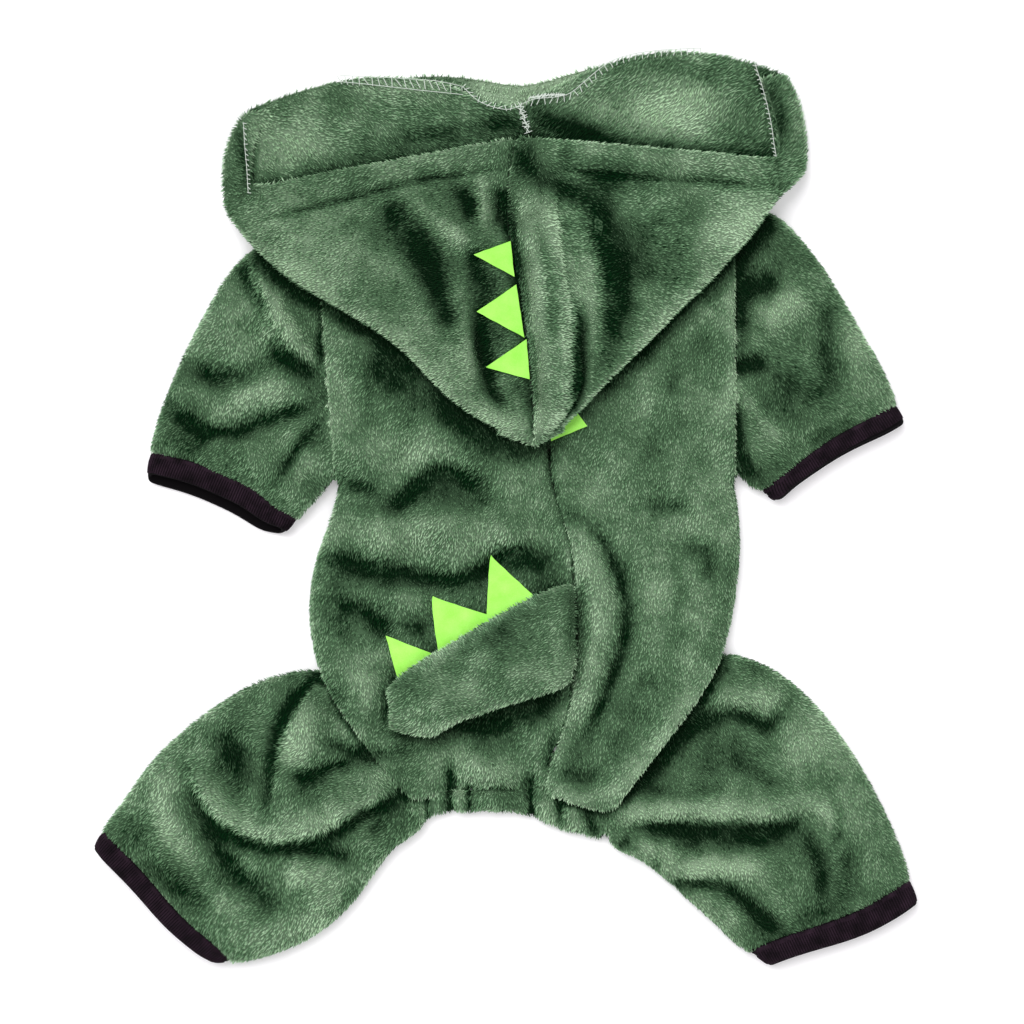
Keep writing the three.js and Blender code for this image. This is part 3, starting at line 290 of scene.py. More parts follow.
HEM_CREASES = (
    (-2, 2, 2, -1.3, ((-24, -122), (-23, -139))),
    (-1.5, 1.8, 1.8, -1.1, ((-15, -122), (-15, -137))),
    (-2, 2, 2, -1.3, ((12, -124), (14, -140))),
    (-1.2, 1.6, 1.6, -0.9, ((26, -128), (27, -142))),
    (-1.6, 2, 2, -1.2, ((37, -132), (42, -147))),
    (-1, 1.6, 1.6, -0.8, ((-33, -124), (-34, -140))),
    (1.2, 4, 4, 0.45, ((-19, -126), (-19, -137))),
    (1, 5, 5, 0.45, ((-6, -126), (-4, -138))),
    (1, 4, 4, 0.45, ((20, -130), (21, -141))),
    (1, 4, 4, 0.45, ((32, -132), (34, -145))),
)

# Where an outline is drawn sideways from that of its solid, in millimetres: x, y, reach, dx and dy.
# A binding moves with the sleeve or leg that it is sewn to.
SLEEVE_LEFT_PULLS = ((-138, 16, 20, 1.5, 4.5), (-115, 6, 12, 1, 2.5))
SLEEVE_RIGHT_PULLS = ((152, 27, 24, -1.3, 2.3),)
LEG_LEFT_PULLS = ((-147, -186, 20, -1.6, -1.6),)
LEG_RIGHT_PULLS = ((162, -183, 30, 2.1, -4.5),)
TAIL_PULLS = ((36, -81, 8, -3, 2), (-31, -99, 8, 0, -3), (-47, -99, 8, -2, -1.5)) + tuple(
    (x, y, 14, -0.7, 1.15)
    for x, y in ((-46, -76), (-34, -69), (-22, -61.5), (-10, -54.5), (2, -47), (14, -40), (26, -33))
)

# The edge of the tail along its spikes, where the pile is brushed up over the felt: x, y and reach
# in millimetres, and that way in degrees.
TAIL_COMBS = tuple(
    (x, y, 5, 125)
    for x, y in ((-45, -75), (-34, -70), (-26, -65), (-18, -60), (-10, -55), (-2, -50), (6, -45), (14, -41))
)

# The cloth pieces.
# nap: way in which the pile is brushed, in degrees from +X towards +Y. wander: how far it strays.
# pile: length of the pile, in millimetres. levels: how often the solid's faces are divided.
# low and high: heights between which the creases take hold, so that they move the upper layer alone.
# creases: tables above, for the upper layer. inside and nap_inside: the same for the hood's open inside.
# soften: how often the outline is smoothed in plan. pulls and combs: as above.
# flat and area: the cut of what shows, in metres and square metres. on: what it lies on.
CLOTH = {
    "back_left": dict(
        nap=-95, wander=28, pile=1.6, levels=2, low=3.0, high=7.0,
        creases=(BACK_CREASES, BACK_UPPER_LEFT, NECK_FRONT),
        pulls=((-37, -126, 9, 0, -3.5), (-10, -125, 20, 0, -1.5), (14, -122, 7, 2, -4)),
        flat=(0.115, 0.310), area=0.03150, on=["fleece_belly"],
    ),
    "back_right": dict(
        nap=-88, wander=18, pile=1.5, levels=2, low=3.0, high=7.0,
        creases=(BACK_CREASES, BACK_UPPER_CREASES, NECK_FRONT),
        pulls=((22, -126, 14, 0, -4.5), (44, -132, 14, -1, -6)),
        flat=(0.095, 0.320), area=0.02520, on=["fleece_belly"],
    ),
    "belly": dict(
        nap=-90, wander=10, pile=1.7, levels=1, low=1.0, high=2.4, creases=(NECK_FRONT,),
        flat=(0.190, 0.300), area=0.05250, on=["table"],
    ),
    "sleeve_left": dict(
        nap=-105, wander=32, pile=1.6, levels=2, low=3.5, high=7.0,
        creases=(SLEEVE_LEFT_CREASES,), pulls=SLEEVE_LEFT_PULLS,
        flat=(0.125, 0.130), area=0.01430, on=["table"],
    ),
    "sleeve_right": dict(
        nap=-55, wander=20, pile=1.7, levels=2, low=3.5, high=7.0,
        creases=(SLEEVE_RIGHT_CREASES,), pulls=SLEEVE_RIGHT_PULLS,
        flat=(0.115, 0.120), area=0.01190, on=["table"],
    ),
    "leg_left": dict(
        nap=-125, wander=38, pile=1.7, levels=2, low=3.5, high=7.0,
        creases=(LEG_LEFT_CREASES,), pulls=LEG_LEFT_PULLS + ((-42, -140, 9, 5, -2),),
        flat=(0.150, 0.180), area=0.02330, on=["table"],
    ),
    "leg_right": dict(
        nap=-60, wander=26, pile=1.6, levels=2, low=3.5, high=7.0,
        creases=(LEG_RIGHT_CREASES,), pulls=LEG_RIGHT_PULLS + ((52, -148, 9, -4.5, -3),),
        flat=(0.150, 0.170), area=0.02200, on=["table"],
    ),
    "hood_left": dict(
        nap=-172, wander=18, pile=1.6, levels=2, low=13.0, high=15.0,
        creases=(HOOD_LEFT_CREASES,), inside=(HOOD_INSIDE_LEFT,), nap_inside=-35,
        pulls=((6, 163, 8, 1.2, 0), (8, 150, 8, 1.2, 0), (10.5, 138, 8, 1.2, 0), (-7, 187, 9, 0, -4)),
        combs=((2, 162, 8, -80), (4, 150, 8, -80), (7, 137, 8, -80)),
        flat=(0.140, 0.210), area=0.02620, on=["fleece_back_left"],
    ),
    "hood_right": dict(
        nap=-15, wander=24, pile=1.5, levels=2, low=13.0, high=15.0,
        creases=(HOOD_RIGHT_CREASES,), inside=(HOOD_INSIDE_RIGHT,), nap_inside=45,
        pulls=((7, 163, 8, -2, 0), (9, 150, 8, -2, 0), (11.5, 138, 8, -1.5, 0)),
        combs=((8, 163, 8, -140), (10, 150, 8, -150), (12.5, 137, 8, -130), (14, 120, 6, -110)),
        flat=(0.133, 0.210), area=0.02540, on=["fleece_back_right"],
    ),
    "tail_upper": dict(
        nap=200, wander=22, pile=1.6, levels=2, low=-9, high=-1, creases=(TAIL_CREASES,),
        soften=12, pulls=TAIL_PULLS, combs=TAIL_COMBS,
        flat=(0.095, 0.055), area=0.00355, on=["fleece_tail_under"],
    ),
    "tail_under": dict(
        nap=200, wander=10, pile=1.5, levels=2, low=90, high=99, creases=(),
        soften=12, pulls=TAIL_PULLS,
        flat=(0.095, 0.055), area=0.00355, on=["fleece_back_right"],
    ),
    "hem_casing": dict(
        nap=-90, wander=30, pile=1.7, levels=2, low=2.0, high=5.0, creases=(HEM_CREASES,),
        soften=4,
        pulls=((52, -137, 13, 9, -2.5), (-46, -131, 13, -5, -2), (-37, -130, 8, 0, 1.5), (16, -126, 7, 0, 1.5)),
        flat=(0.084, 0.025), area=0.00195, on=["table"],
    ),
}

# The rib bindings.
# axis: the way from the cloth to the open end, in degrees from +X towards +Y. ribs: length of the
# ribs from the cloth outwards, in metres. wide: how much wider than its solid the band lies.
# pulls: as above. flat and area: the cut, in metres and square metres. on: what it lies on.
BINDINGS = {
    "cuff_front_left": dict(
        axis=-113.6, ribs=0.0095, wide=1.0,
        pulls=SLEEVE_LEFT_PULLS + ((-125, -6, 20, 0.8, 2), (-162.6, 13.3, 6, 1, 0), (-101.2, -15.1, 7, 1, 2.5)),
        flat=(0.140, 0.0125), area=0.00165, on="table",
    ),
    "cuff_front_right": dict(
        axis=-58.0, ribs=0.0076, wide=1.0,
        pulls=SLEEVE_RIGHT_PULLS + ((124, 5, 7, -1.5, -4), (182.5, 37.6, 6, 0.5, 1)),
        flat=(0.105, 0.0125), area=0.00128, on="table",
    ),
    "cuff_hind_left": dict(
        axis=-135.0, ribs=0.0090, wide=1.0,
        pulls=LEG_LEFT_PULLS + (
            (-186.8, -153.0, 6, 1.5, 0), (-130.5, -207.1, 6, 0, 1.8), (-120.8, -204.9, 4, -1.5, 0.5),
        ),
        flat=(0.135, 0.0125), area=0.00162, on="table",
    ),
    "cuff_hind_right": dict(
        axis=-64.7, ribs=0.0092, wide=1.22,
        pulls=LEG_RIGHT_PULLS + ((186.8, -174.7, 6, 0, 0.8), (119.4, -205.0, 5, 0.5, 0)),
        flat=(0.130, 0.0125), area=0.00154, on="table",
    ),
}

# The felt spikes.
# corners: the solid's apex and the two ends of its base, in millimetres. shown: where the felt has
# these three. tuck: how far the second end of the base slips under the next spike. sink: how far the
# base lies down in the pile of its seam. flat and area: the cut, in metres and square metres. on:
# what it lies on.
SPIKES = {
    "spike_hood_1": dict(
        corners=((-12.6, 114.0), (2.7, 120.8), (5.9, 103.4)), shown=((-12.6, 114.0), (3.9, 120.2), (5.6, 104.2)),
        tuck=0.0, sink=0.0, flat=(0.0200, 0.0175), area=0.00018, on="fleece_hood_left",
    ),
    "spike_hood_2": dict(
        corners=((-11.2, 88.4), (6.2, 101.0), (10.6, 77.0)), shown=((-11.3, 88.4), (6.4, 100.7), (10.0, 77.0)),
        tuck=0.0, sink=0.0, flat=(0.0240, 0.0205), area=0.00028, on="fleece_hood_left",
    ),
    "spike_hood_3": dict(
        corners=((-7.2, 63.7), (10.6, 76.2), (12.4, 58.2)), shown=((-7.2, 63.6), (11.0, 76.2), (12.4, 58.2)),
        tuck=0.0, sink=0.0, flat=(0.0205, 0.0180), area=0.00021, on="fleece_hood_left",
    ),
    "spike_back_1": dict(
        corners=((38.3, 37.5), (22.1, 58.2), (22.1, 30.7)), shown=((38.5, 37.5), (22.1, 58.2), (22.1, 30.7)),
        tuck=0.0, sink=0.0, flat=(0.0276, 0.0150), area=0.00027, on="fleece_back_right",
    ),
    "spike_tail_1": dict(
        corners=((-4.1, -20.4), (-12.5, -55.2), (12.7, -39.7)), shown=((-4.9, -20.5), (-7.1, -52.9), (15.3, -39.6)),
        tuck=0.0, sink=1.3, flat=(0.0330, 0.0250), area=0.00045, on="fleece_tail_upper",
    ),
    "spike_tail_2": dict(
        corners=((-30.0, -39.0), (-34.1, -67.6), (-13.0, -55.5)), shown=((-31.0, -39.0), (-28.3, -66.0), (-0.8, -49.0)),
        tuck=1.7, sink=1.3, flat=(0.0330, 0.0210), area=0.00040, on="fleece_tail_upper",
    ),
    "spike_tail_3": dict(
        corners=((-52.2, -57.0), (-46.6, -75.8), (-34.5, -67.8)),
        shown=((-52.3, -56.8), (-46.5, -77.4), (-28.1, -66.0)),
        tuck=1.2, sink=1.3, flat=(0.0230, 0.0170), area=0.00021, on="fleece_tail_upper",
    ),
}

# The lines of the white stitches, in millimetres.
NECK_LEFT = ((-72.8, 195.0), (-51.7, 194.0), (-29.2, 192.5), (-17.5, 190.2))
NECK_LEFT_LOW = ((-72.8, 192.2), (-51.7, 189.9), (-36.8, 188.2), (-17.5, 186.3))
NECK_V = ((-17.5, 190.2), (-15.7, 188.0), (-11.2, 183.5), (-4.0, 180.6), (3.7, 179.2), (8.2, 182.0))
KNOT = ((12.5, 184.6), (20.0, 185.8), (28.0, 185.8))
NAPE = ((8.2, 181.1), (10.0, 175.2), (11.8, 169.4))
NECK_RIGHT = (
    (8.2, 182.0), (14.0, 184.6), (23.0, 185.0), (30.7, 186.5), (36.5, 191.7), (42.8, 197.2), (50.0, 202.2),
    (60.8, 205.2), (73.4, 206.6), (89.2, 207.3),
)
FACING_LEFT = ((-116.4, 173.9), (-115.8, 163.0), (-114.7, 151.5), (-113.9, 142.1))
FACING_RIGHT = ((113.6, 202.1), (116.3, 192.9), (119.1, 183.7), (121.4, 173.3), (123.2, 159.0))

# Rows of short stitches: name, line, length of a stitch, pitch, slant from the line in degrees,
# how uneven they are, and how far the row is set off to the left of its line.
STITCHES = (
    ("neck_left", NECK_LEFT, 4.2, 2.9, -66, 0.35, -2.1),
    ("neck_v", NECK_V, 2.8, 2.5, 70, 0.7, 0.6),
    ("nape", NAPE, 3.6, 1.3, 55, 0.7, 0.0),
    ("nape_back", NAPE, 3.4, 1.5, -50, 0.7, 0.3),
    ("knot", KNOT, 2.4, 0.45, 25, 0.8, 0.4),
    ("neck_right", NECK_RIGHT, 3.2, 2.9, 74, 0.4, -1.3),
    ("facing_left", FACING_LEFT, 1.8, 2.2, 60, 0.5, 0.5),
    ("facing_right", FACING_RIGHT, 1.8, 2.2, 60, 0.5, -0.5),
)

# Threads that run along a line: name and line.
RAILS = (
    ("neck_left_high", NECK_LEFT),
    ("neck_left_low", NECK_LEFT_LOW),
    ("neck_v", NECK_V),
    ("neck_right", NECK_RIGHT),
    ("facing_left", FACING_LEFT),
    ("facing_right", FACING_RIGHT),
)

# Creases and ripples of the cloth. Lengths are in millimetres.
MERGE_DISTANCE = 1e-6  # metres
PAIR_FOLD = 60.0  # degrees, as the next: two triangles become a quad up to this fold between them
PAIR_SHAPE = 150.0
RELIEF = 1.35  # how much deeper than their tables the creases are
CREASE_END = 0.22  # share of a crease's length over which it starts and ends
CREASE_END_SHARE = 0.3  # what is left of it at its very ends
WAVE_COUNT = 5
WAVE_STRETCH = (0.7, 1.5)
CLOTH_SEED = 7
TONE_WAVES = ((0.16, 46.0), (0.12, 21.0))  # strength and length of light and dark patches
RIPPLES = ((0.35, 17.0), (0.2, 8.0))  # height and length
NAP_WAVE = 34.0
OUTLINE_SOFTENING = 0.5

# The open inside of the hood, above a line across the garment.
INSIDE_LINE = 138.0
INSIDE_BLEND = 4.0
INSIDE_TOP = (13.0, 15.0)  # heights over which it ends
INSIDE_WANDER = 16.0  # degrees
INSIDE_WAVE = 30.0
INSIDE_PILE = 0.3  # how much longer its pile is, as a share

# Light and shade of the pile.
EDGE_LIGHT = 0.75
EDGE_TURN = (0.12, 0.75)  # how far the cloth turns from lying flat where that light starts and is full
SHADE_SLANT = 68.0  # degrees from upright
SHADE_LOOKS = 6
SHADE_TURN = 0.5  # share of the step between two looks at which the first stands
SHADE_REACH = 11.0
SHADE_DEPTH = 3.2
TONE_LIMIT = 1.2

# Where pile grows: what some looks from above can reach.
LOOK_SLANTS = (50.0, 20.0)  # degrees from upright
LOOKS = 4
LOOK_TURN = 0.3
LOOK_START = 1.5
LOOK_LEAST = 0.05
UNDER_NORMAL = -0.5  # faces that point down more than this have no pile

# Seams between two pieces of cloth.
SIDE_NORMAL = 0.75  # a face that points up or down less than this is a side wall
RAY_START = 10.0 * MERGE_DISTANCE
SEAM_GAP = 3.4
SEAM_LAP = 0.6

# Rib bindings.
CUFF_LEVELS = 2
CUFF_SOFT = 14
CUFF_TUCK = 1.0
ROD_SIDES = 6
ROD_STEPS = 5
RIB_START = 0.5
SEAM_PITCH = 0.0013  # metres, as the next two
SEAM_STITCH = 0.0016
SEAM_RADIUS = 0.0005

# Felt.
FELT_LEVELS = 3
FELT_UNEVEN = 0.08
FELT_WAVE = 6.0
FELT_SEED = 20
FELT_TIP = 0.925  # share of the solid's height at which its blunt tip ends
FELT_FULL = 0.995
FELT_BASE = 0.45  # share of the height over which the base lies down
FELT_EDGE = 40.0  # degrees

# Stitches.
STITCH_LIFT = 1.5
RAIL_LIFT = 0.2
RAIL_WIDTH = 0.8
THREAD_ROOM = 1.8
THREAD_SIDES = 6
LINE_STEP = 1.5
LINE_SOFT_FROM = 5
LINE_SOFT = 4
HEIGHT_SOFT = 3
ABOVE_ALL = 0.1  # metres

# Colour and grain of the cloths. A scale is in waves to a metre.
PATCH_NOISE = dict(Scale=38.0, Detail=3.0, Roughness=0.55)
MOTTLE_NOISE = dict(Scale=130.0, Detail=2.0, Roughness=0.6)
MOTTLE_SHARE = 0.35
TONE_SHARE = 0.42
TONE_MIDDLE = 0.50
SHADE_MEAN = 0.667  # mean of the square root of an even draw
COLOUR_STOPS = (0.05, 0.5, 0.95)
# Painted shade: each tuft is darker towards its root, and the cloth under the pile is darker by GROUND_SHADE.
ROOT_TO_TIP = dict(From_Min=0.0, From_Max=0.6, To_Min=0.30, To_Max=1.1)
GROUND_SHADE = 0.40
PILE_GRAIN = dict(Scale=1400.0, Detail=2.0, Roughness=0.6)
PILE_BUMP = dict(Strength=0.35, Distance=0.0004)
CLOUD_SHARE = 14.0  # how many times larger the clouds of a plain cloth are than its grain
PLAIN_STOPS = (0.35, 0.65)

# Plain cloths: name, the settings that hold its two colours, scale, strength and depth of its grain, and sheen.
PLAIN_CLOTHS = (
    ("rib_knit", ("knit_dark", "knit_light"), 2600.0, 0.5, 0.0003, 0.06),
    # The knit between the ribs takes only its dark colour, as painted shade in the gaps.
    ("rib_gaps", ("knit_dark", "knit_dark"), 2600.0, 0.5, 0.0003, 0.0),
    ("lime_felt", ("felt_dark", "felt_light"), 1900.0, 0.5, 0.00025, 0.2),
    ("white_thread", ("thread_colour", "thread_colour"), 5000.0, 0.4, 0.0001, 0.1),
)

# Tufts: how unevenly they lean and stand, and what is added to the seed for each draw.
STRAY_MOST = (1.0, 1.0, 0.6)
TUFT_SIZES = (0.7, 1.35)
SIZE_SEED = 7
SHADE_SEED = 13

# Stage, in metres, and lights: name, share of the main light, softness in degrees, and tilt round X and Y in degrees.
TABLE_HALF = 1.6
SENSOR = 36.0  # millimetres
LIGHT_HEIGHT = 1.0
GLOW = (1.0, 0.985, 1.0)
LIGHTS = (
    ("main_light", 1.0, 50.0, (-32.0, -24.0)),
    ("side_light", 0.35, 70.0, (28.0, 34.0)),
)


def ramp(low, high, value):
    """0 below low, 1 above high, and a smooth rise between them."""
    t = np.clip((value - low) / (high - low), 0.0, 1.0)
    return t * t * (3.0 - 2.0 * t)


def settled(piece):
    """Turns a piece with modifiers into a plain mesh and takes the modifiers off."""
    bpy.context.view_layer.update()
    graph = bpy.context.evaluated_depsgraph_get()
    mesh = bpy.data.meshes.new_from_object(piece.evaluated_get(graph))
    piece.modifiers.clear()
    before = piece.data
    piece.data = mesh
    if before.users == 0:
        bpy.data.meshes.remove(before)
    mesh.name = piece.name
    return piece


def new_piece(name, data):
    """An object with its data, put in the scene."""
    piece = bpy.data.objects.new(name, data)
    bpy.context.scene.collection.objects.link(piece)
    return piece


def refine(piece, levels, kind="CATMULL_CLARK"):
    """Divides a piece finer."""
    finer = piece.modifiers.new("Refine", "SUBSURF")
    finer.subdivision_type = kind
    finer.levels = finer.render_levels = levels


def soften_outline(piece, rounds):
    """Rounds a piece's outline in plan and leaves its heights."""
    softer = piece.modifiers.new("Soften", "SMOOTH")
    softer.iterations = rounds
    softer.factor = OUTLINE_SOFTENING
    softer.use_z = False


def copy_of_node(node, name, join=True):
    """A new piece with a CAD node's mesh, its doubles merged and its triangles paired."""
    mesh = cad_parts[node].data.copy()
    mesh.materials.clear()
    shape = bmesh.new()
    shape.from_mesh(mesh)
    bmesh.ops.remove_doubles(shape, verts=shape.verts, dist=MERGE_DISTANCE)
    if join:
        bmesh.ops.join_triangles(
            shape, faces=shape.faces,
            angle_face_threshold=math.radians(PAIR_FOLD), angle_shape_threshold=math.radians(PAIR_SHAPE),
        )
    shape.to_mesh(mesh)
    shape.free()
    mesh.polygons.foreach_set("use_smooth", np.ones(len(mesh.polygons), bool))
    return new_piece(name, mesh)


def read_points(mesh, what):
    """Three values of each of a mesh's points, one row for a point."""
    found = np.empty(len(mesh.vertices) * 3)
    mesh.vertices.foreach_get(what, found)
    return found.reshape(-1, 3)


def positions(mesh):
    return read_points(mesh, "co")


def normals(mesh):
    return read_points(mesh, "normal")


def put_points(mesh, place):
    """Moves a mesh's points to new places."""
    mesh.vertices.foreach_set("co", place.ravel())
    mesh.update()


def flat_way(degrees):
    """A direction in plan, in degrees from +X towards +Y."""
    turn = math.radians(degrees)
    return math.cos(turn), math.sin(turn)


def round_point(plan, x, y, reach):
    """How near plan points are to one point: 1 at it, and falling off over a reach."""
    return np.exp(-((plan[:, 0] - x) ** 2 + (plan[:, 1] - y) ** 2) / reach**2)


def pull_cloth(mesh, pulls):
    """Draws a cloth sideways round some points, each pull given in millimetres: x, y, reach, dx, dy."""
    place = positions(mesh)
    plan = place[:, :2] / MM
    for x, y, reach, dx, dy in pulls:
        place[:, :2] += np.outer(round_point(plan, x, y, reach), (dx * MM, dy * MM))
    put_points(mesh, place)


def crease_share(points, path, left, right):
    """How strongly a crease acts on plan points in millimetres: 1 on its path, 0 far from it."""
    path = np.array(path, float)
    steps = np.linalg.norm(np.diff(path, axis=0), axis=1)
    starts = np.concatenate([[0.0], np.cumsum(steps)])
    nearest = np.full(len(points), np.inf)
    width = np.ones(len(points))
    along = np.zeros(len(points))
    for k, step in enumerate(steps):
        to_point = points - path[k]
        run = path[k + 1] - path[k]
        t = np.clip(to_point @ run / step**2, 0.0, 1.0)
        gap = np.linalg.norm(to_point - t[:, None] * run, axis=1)
        on_left = run[0] * to_point[:, 1] - run[1] * to_point[:, 0] > 0
        closer = gap < nearest
        nearest[closer] = gap[closer]
        width[closer] = np.where(on_left, left, right)[closer]
        along[closer] = (starts[k] + t * step)[closer]
    fade = np.minimum(along, starts[-1] - along) / (CREASE_END * starts[-1])
    ends = CREASE_END_SHARE + (1.0 - CREASE_END_SHARE) * ramp(0.0, 1.0, fade)
    return ends * np.exp(-((nearest / width) ** 2))


def waves(points, length, seed):
    """Smooth, uneven values from about -1 to 1 over plan points, with that wave length."""
    draw = np.random.default_rng(seed)
    total = np.zeros(len(points))
    for _ in range(WAVE_COUNT):
        turn = draw.uniform(0.0, 2.0 * math.pi)
        stretch = draw.uniform(*WAVE_STRETCH)
        start = draw.uniform(0.0, 2.0 * math.pi)
        heading = np.array([math.cos(turn), math.sin(turn)]) * 2.0 * math.pi / (length * stretch)
        total += np.sin(points @ heading + start)
    return total / math.sqrt(WAVE_COUNT)


def attribute(mesh, name, kind, values):
    """Keeps a value for each point of a mesh under a name."""
    made = mesh.attributes.new(name, kind, "POINT")
    made.data.foreach_set("vector" if kind == "FLOAT_VECTOR" else "value", values.astype(np.float32).ravel())


def creased_cloth(node):
    """The cloth of one CAD node: refined, creased, and with what its pile needs in attributes."""
    facts = CLOTH[node]
    piece = copy_of_node(node, "fleece_" + node)
    if "soften" in facts:
        soften_outline(piece, facts["soften"])
    refine(piece, facts["levels"])
    settled(piece)
    mesh = piece.data
    pull_cloth(mesh, facts.get("pulls", ()))
    place = positions(mesh)
    plan = place[:, :2] / MM
    height = place[:, 2] / MM
    hold = ramp(facts["low"], facts["high"], height)
    inside = ramp(INSIDE_LINE, INSIDE_LINE + INSIDE_BLEND, plan[:, 1]) * (1.0 - ramp(*INSIDE_TOP, height))
    rise = np.zeros(len(plan))
    tone = sum(share * waves(plan, length, CLOTH_SEED + k) for k, (share, length) in enumerate(TONE_WAVES))
    for tables, where in ((facts["creases"], hold), (facts.get("inside", ()), inside)):
        for lift, left, right, shade, path in (crease for table in tables for crease in table):
            share = crease_share(plan, path, left, right) * where
            rise += RELIEF * lift * share
            # Painted shade and painted highlight along each crease, together with the brushed nap's lightness.
            tone += shade * share
    rise += hold * sum(high * waves(plan, length, CLOTH_SEED + 2 + k) for k, (high, length) in enumerate(RIPPLES))
    place[:, 2] = np.maximum(place[:, 2] + rise * MM, min(place[:, 2].min(), 0.0))
    put_points(mesh, place)
    up = normals(mesh)
    # Painted highlight: the pile is made lighter where the cloth turns away from lying flat.
    tone += EDGE_LIGHT * ramp(*EDGE_TURN, 1.0 - up[:, 2]) * (up[:, 2] > UNDER_NORMAL)
    # Lightness of the pile for its colour: random brushed patches, plus painted shade and painted highlight.
    attribute(mesh, "tone", "FLOAT", tone)
    heading = np.radians(facts["nap"] + facts["wander"] * waves(plan, NAP_WAVE, CLOTH_SEED + 4))
    longer = np.zeros(len(plan))
    if "nap_inside" in facts:
        turned = np.radians(facts["nap_inside"] + INSIDE_WANDER * waves(plan, INSIDE_WAVE, CLOTH_SEED + 5))
        heading = np.where(inside > 0.5, turned, heading)
        longer = INSIDE_PILE * (inside > 0.5)
    nap = np.stack([np.cos(heading), np.sin(heading), np.zeros(len(heading))], axis=1)
    for x, y, reach, way in facts.get("combs", ()):
        nap += round_point(plan, x, y, reach)[:, None] * (np.array([*flat_way(way), 0.0]) - nap)
    nap -= up * (nap * up).sum(axis=1, keepdims=True)
    attribute(mesh, "nap", "FLOAT_VECTOR", nap)
    attribute(mesh, "pile_length", "FLOAT", 1.0 + longer)
    mesh.materials.append(bpy.data.materials["fleece_ground"])
    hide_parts(node)
    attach(piece, BODY)
    return piece


def tree_of(pieces):
    """Some pieces in one tree for ray casts and distances."""
    corners = []
    faces = []
    for piece in pieces:
        start = len(corners)
        corners.extend(v.co.copy() for v in piece.data.vertices)
        faces.extend([start + v for v in p.vertices] for p in piece.data.polygons)
    return BVHTree.FromPolygons(corners, faces)


def all_cloth():
    """The pieces made of fleece."""
    return [bpy.data.objects["fleece_" + node] for node in CLOTH]


def looks_round(slant, count, start):
    """Directions spread round the upright at a slant in degrees."""
    slant = math.radians(slant)
    turns = [2.0 * math.pi * (k + start) / count for k in range(count)]
    return [
        Vector((math.sin(slant) * math.cos(turn), math.sin(slant) * math.sin(turn), math.cos(slant)))
        for turn in turns
    ]


def open_share(mesh, tree):
    """How much of the pile at each point of a cloth is open to view from above, from 0 to 1."""
    looks = [Vector((0.0, 0.0, 1.0))]
    for slant in LOOK_SLANTS:
        looks += looks_round(slant, LOOKS, LOOK_TURN)
    share = np.zeros(len(mesh.vertices))
    for k, vertex in enumerate(mesh.vertices):
        if vertex.normal.z < UNDER_NORMAL:
            continue
        start = vertex.co + vertex.normal * (LOOK_START * MM)
        for look in looks:
            if look.dot(vertex.normal) > LOOK_LEAST and tree.ray_cast(start, look)[0] is None:
                share[k] = 1.0
                break
    return share


def close_seams(mesh, tree):
    """Moves side walls that face another piece across a seam until the two meet."""
    for vertex in mesh.vertices:
        side = vertex.normal
        if abs(side.z) < SIDE_NORMAL:
            gap = tree.ray_cast(vertex.co + side * RAY_START, side, SEAM_GAP * MM)[3]
            if gap is not None:
                vertex.co += side * (gap / 2.0 + SEAM_LAP * MM)
    mesh.update()


def painted_shade_share(mesh, tree):
    """How much higher cloth stands close round each point of a cloth, from 0 to 1, used as painted shade on the pile
    there.
    """
    looks = looks_round(SHADE_SLANT, SHADE_LOOKS, SHADE_TURN)
    share = np.zeros(len(mesh.vertices))
    for k, vertex in enumerate(mesh.vertices):
        if vertex.normal.z < UNDER_NORMAL:
            continue
        start = vertex.co + vertex.normal * (LOOK_START * MM)
        for look in looks:
            gap = tree.ray_cast(start, look, SHADE_REACH * MM)[3]
            if gap is not None:
                share[k] += (1.0 - gap / (SHADE_REACH * MM)) / SHADE_LOOKS
    return share


def new_tree(name, inputs):
    """An empty Geometry Nodes tree with a mesh in and out, and its inputs' identifiers by name."""
    tree = bpy.data.node_groups.new(name, "GeometryNodeTree")
    tree.interface.new_socket(name="Geometry", in_out="INPUT", socket_type="NodeSocketGeometry")
    tree.interface.new_socket(name="Geometry", in_out="OUTPUT", socket_type="NodeSocketGeometry")
    found = {}
    for label, kind, default in inputs:
        socket = tree.interface.new_socket(name=label, in_out="INPUT", socket_type=kind)
        if default is not None:
            socket.default_value = default
        found[label] = socket.identifier
    return tree, found


def add(tree, kind, settings=None, **links):
    """A node with its settings, and each link given as the input's name and what feeds it."""
    node = tree.nodes.new(kind)
    for key, value in (settings or {}).items():
        setattr(node, key, value)
    for key, value in links.items():
        index = int(key[1:]) if key[0] == "_" and key[1:].isdigit() else key.replace("_", " ")
        socket = node.inputs[index]
        if isinstance(value, bpy.types.NodeSocket):
            tree.links.new(value, socket)
        else:
            socket.default_value = value
    return node


def end_tree(tree, instances, material):
    """Makes instances real, gives them their material and sends them out of the tree."""
    real = add(tree, "GeometryNodeRealizeInstances", None, Geometry=instances)
    painted = add(tree, "GeometryNodeSetMaterial", None, Geometry=real.outputs[0], Material=material)
    out = tree.nodes.new("NodeGroupOutput")
    tree.links.new(painted.outputs[0], out.inputs["Geometry"])


def even_draw(tree, seed, low, high):
    """A random number for each point, from low to high."""
    draw = add(tree, "FunctionNodeRandomValue", {"data_type": "FLOAT"}, Seed=seed)
    draw.inputs[2].default_value = low
    draw.inputs[3].default_value = high
    return draw.outputs[1]


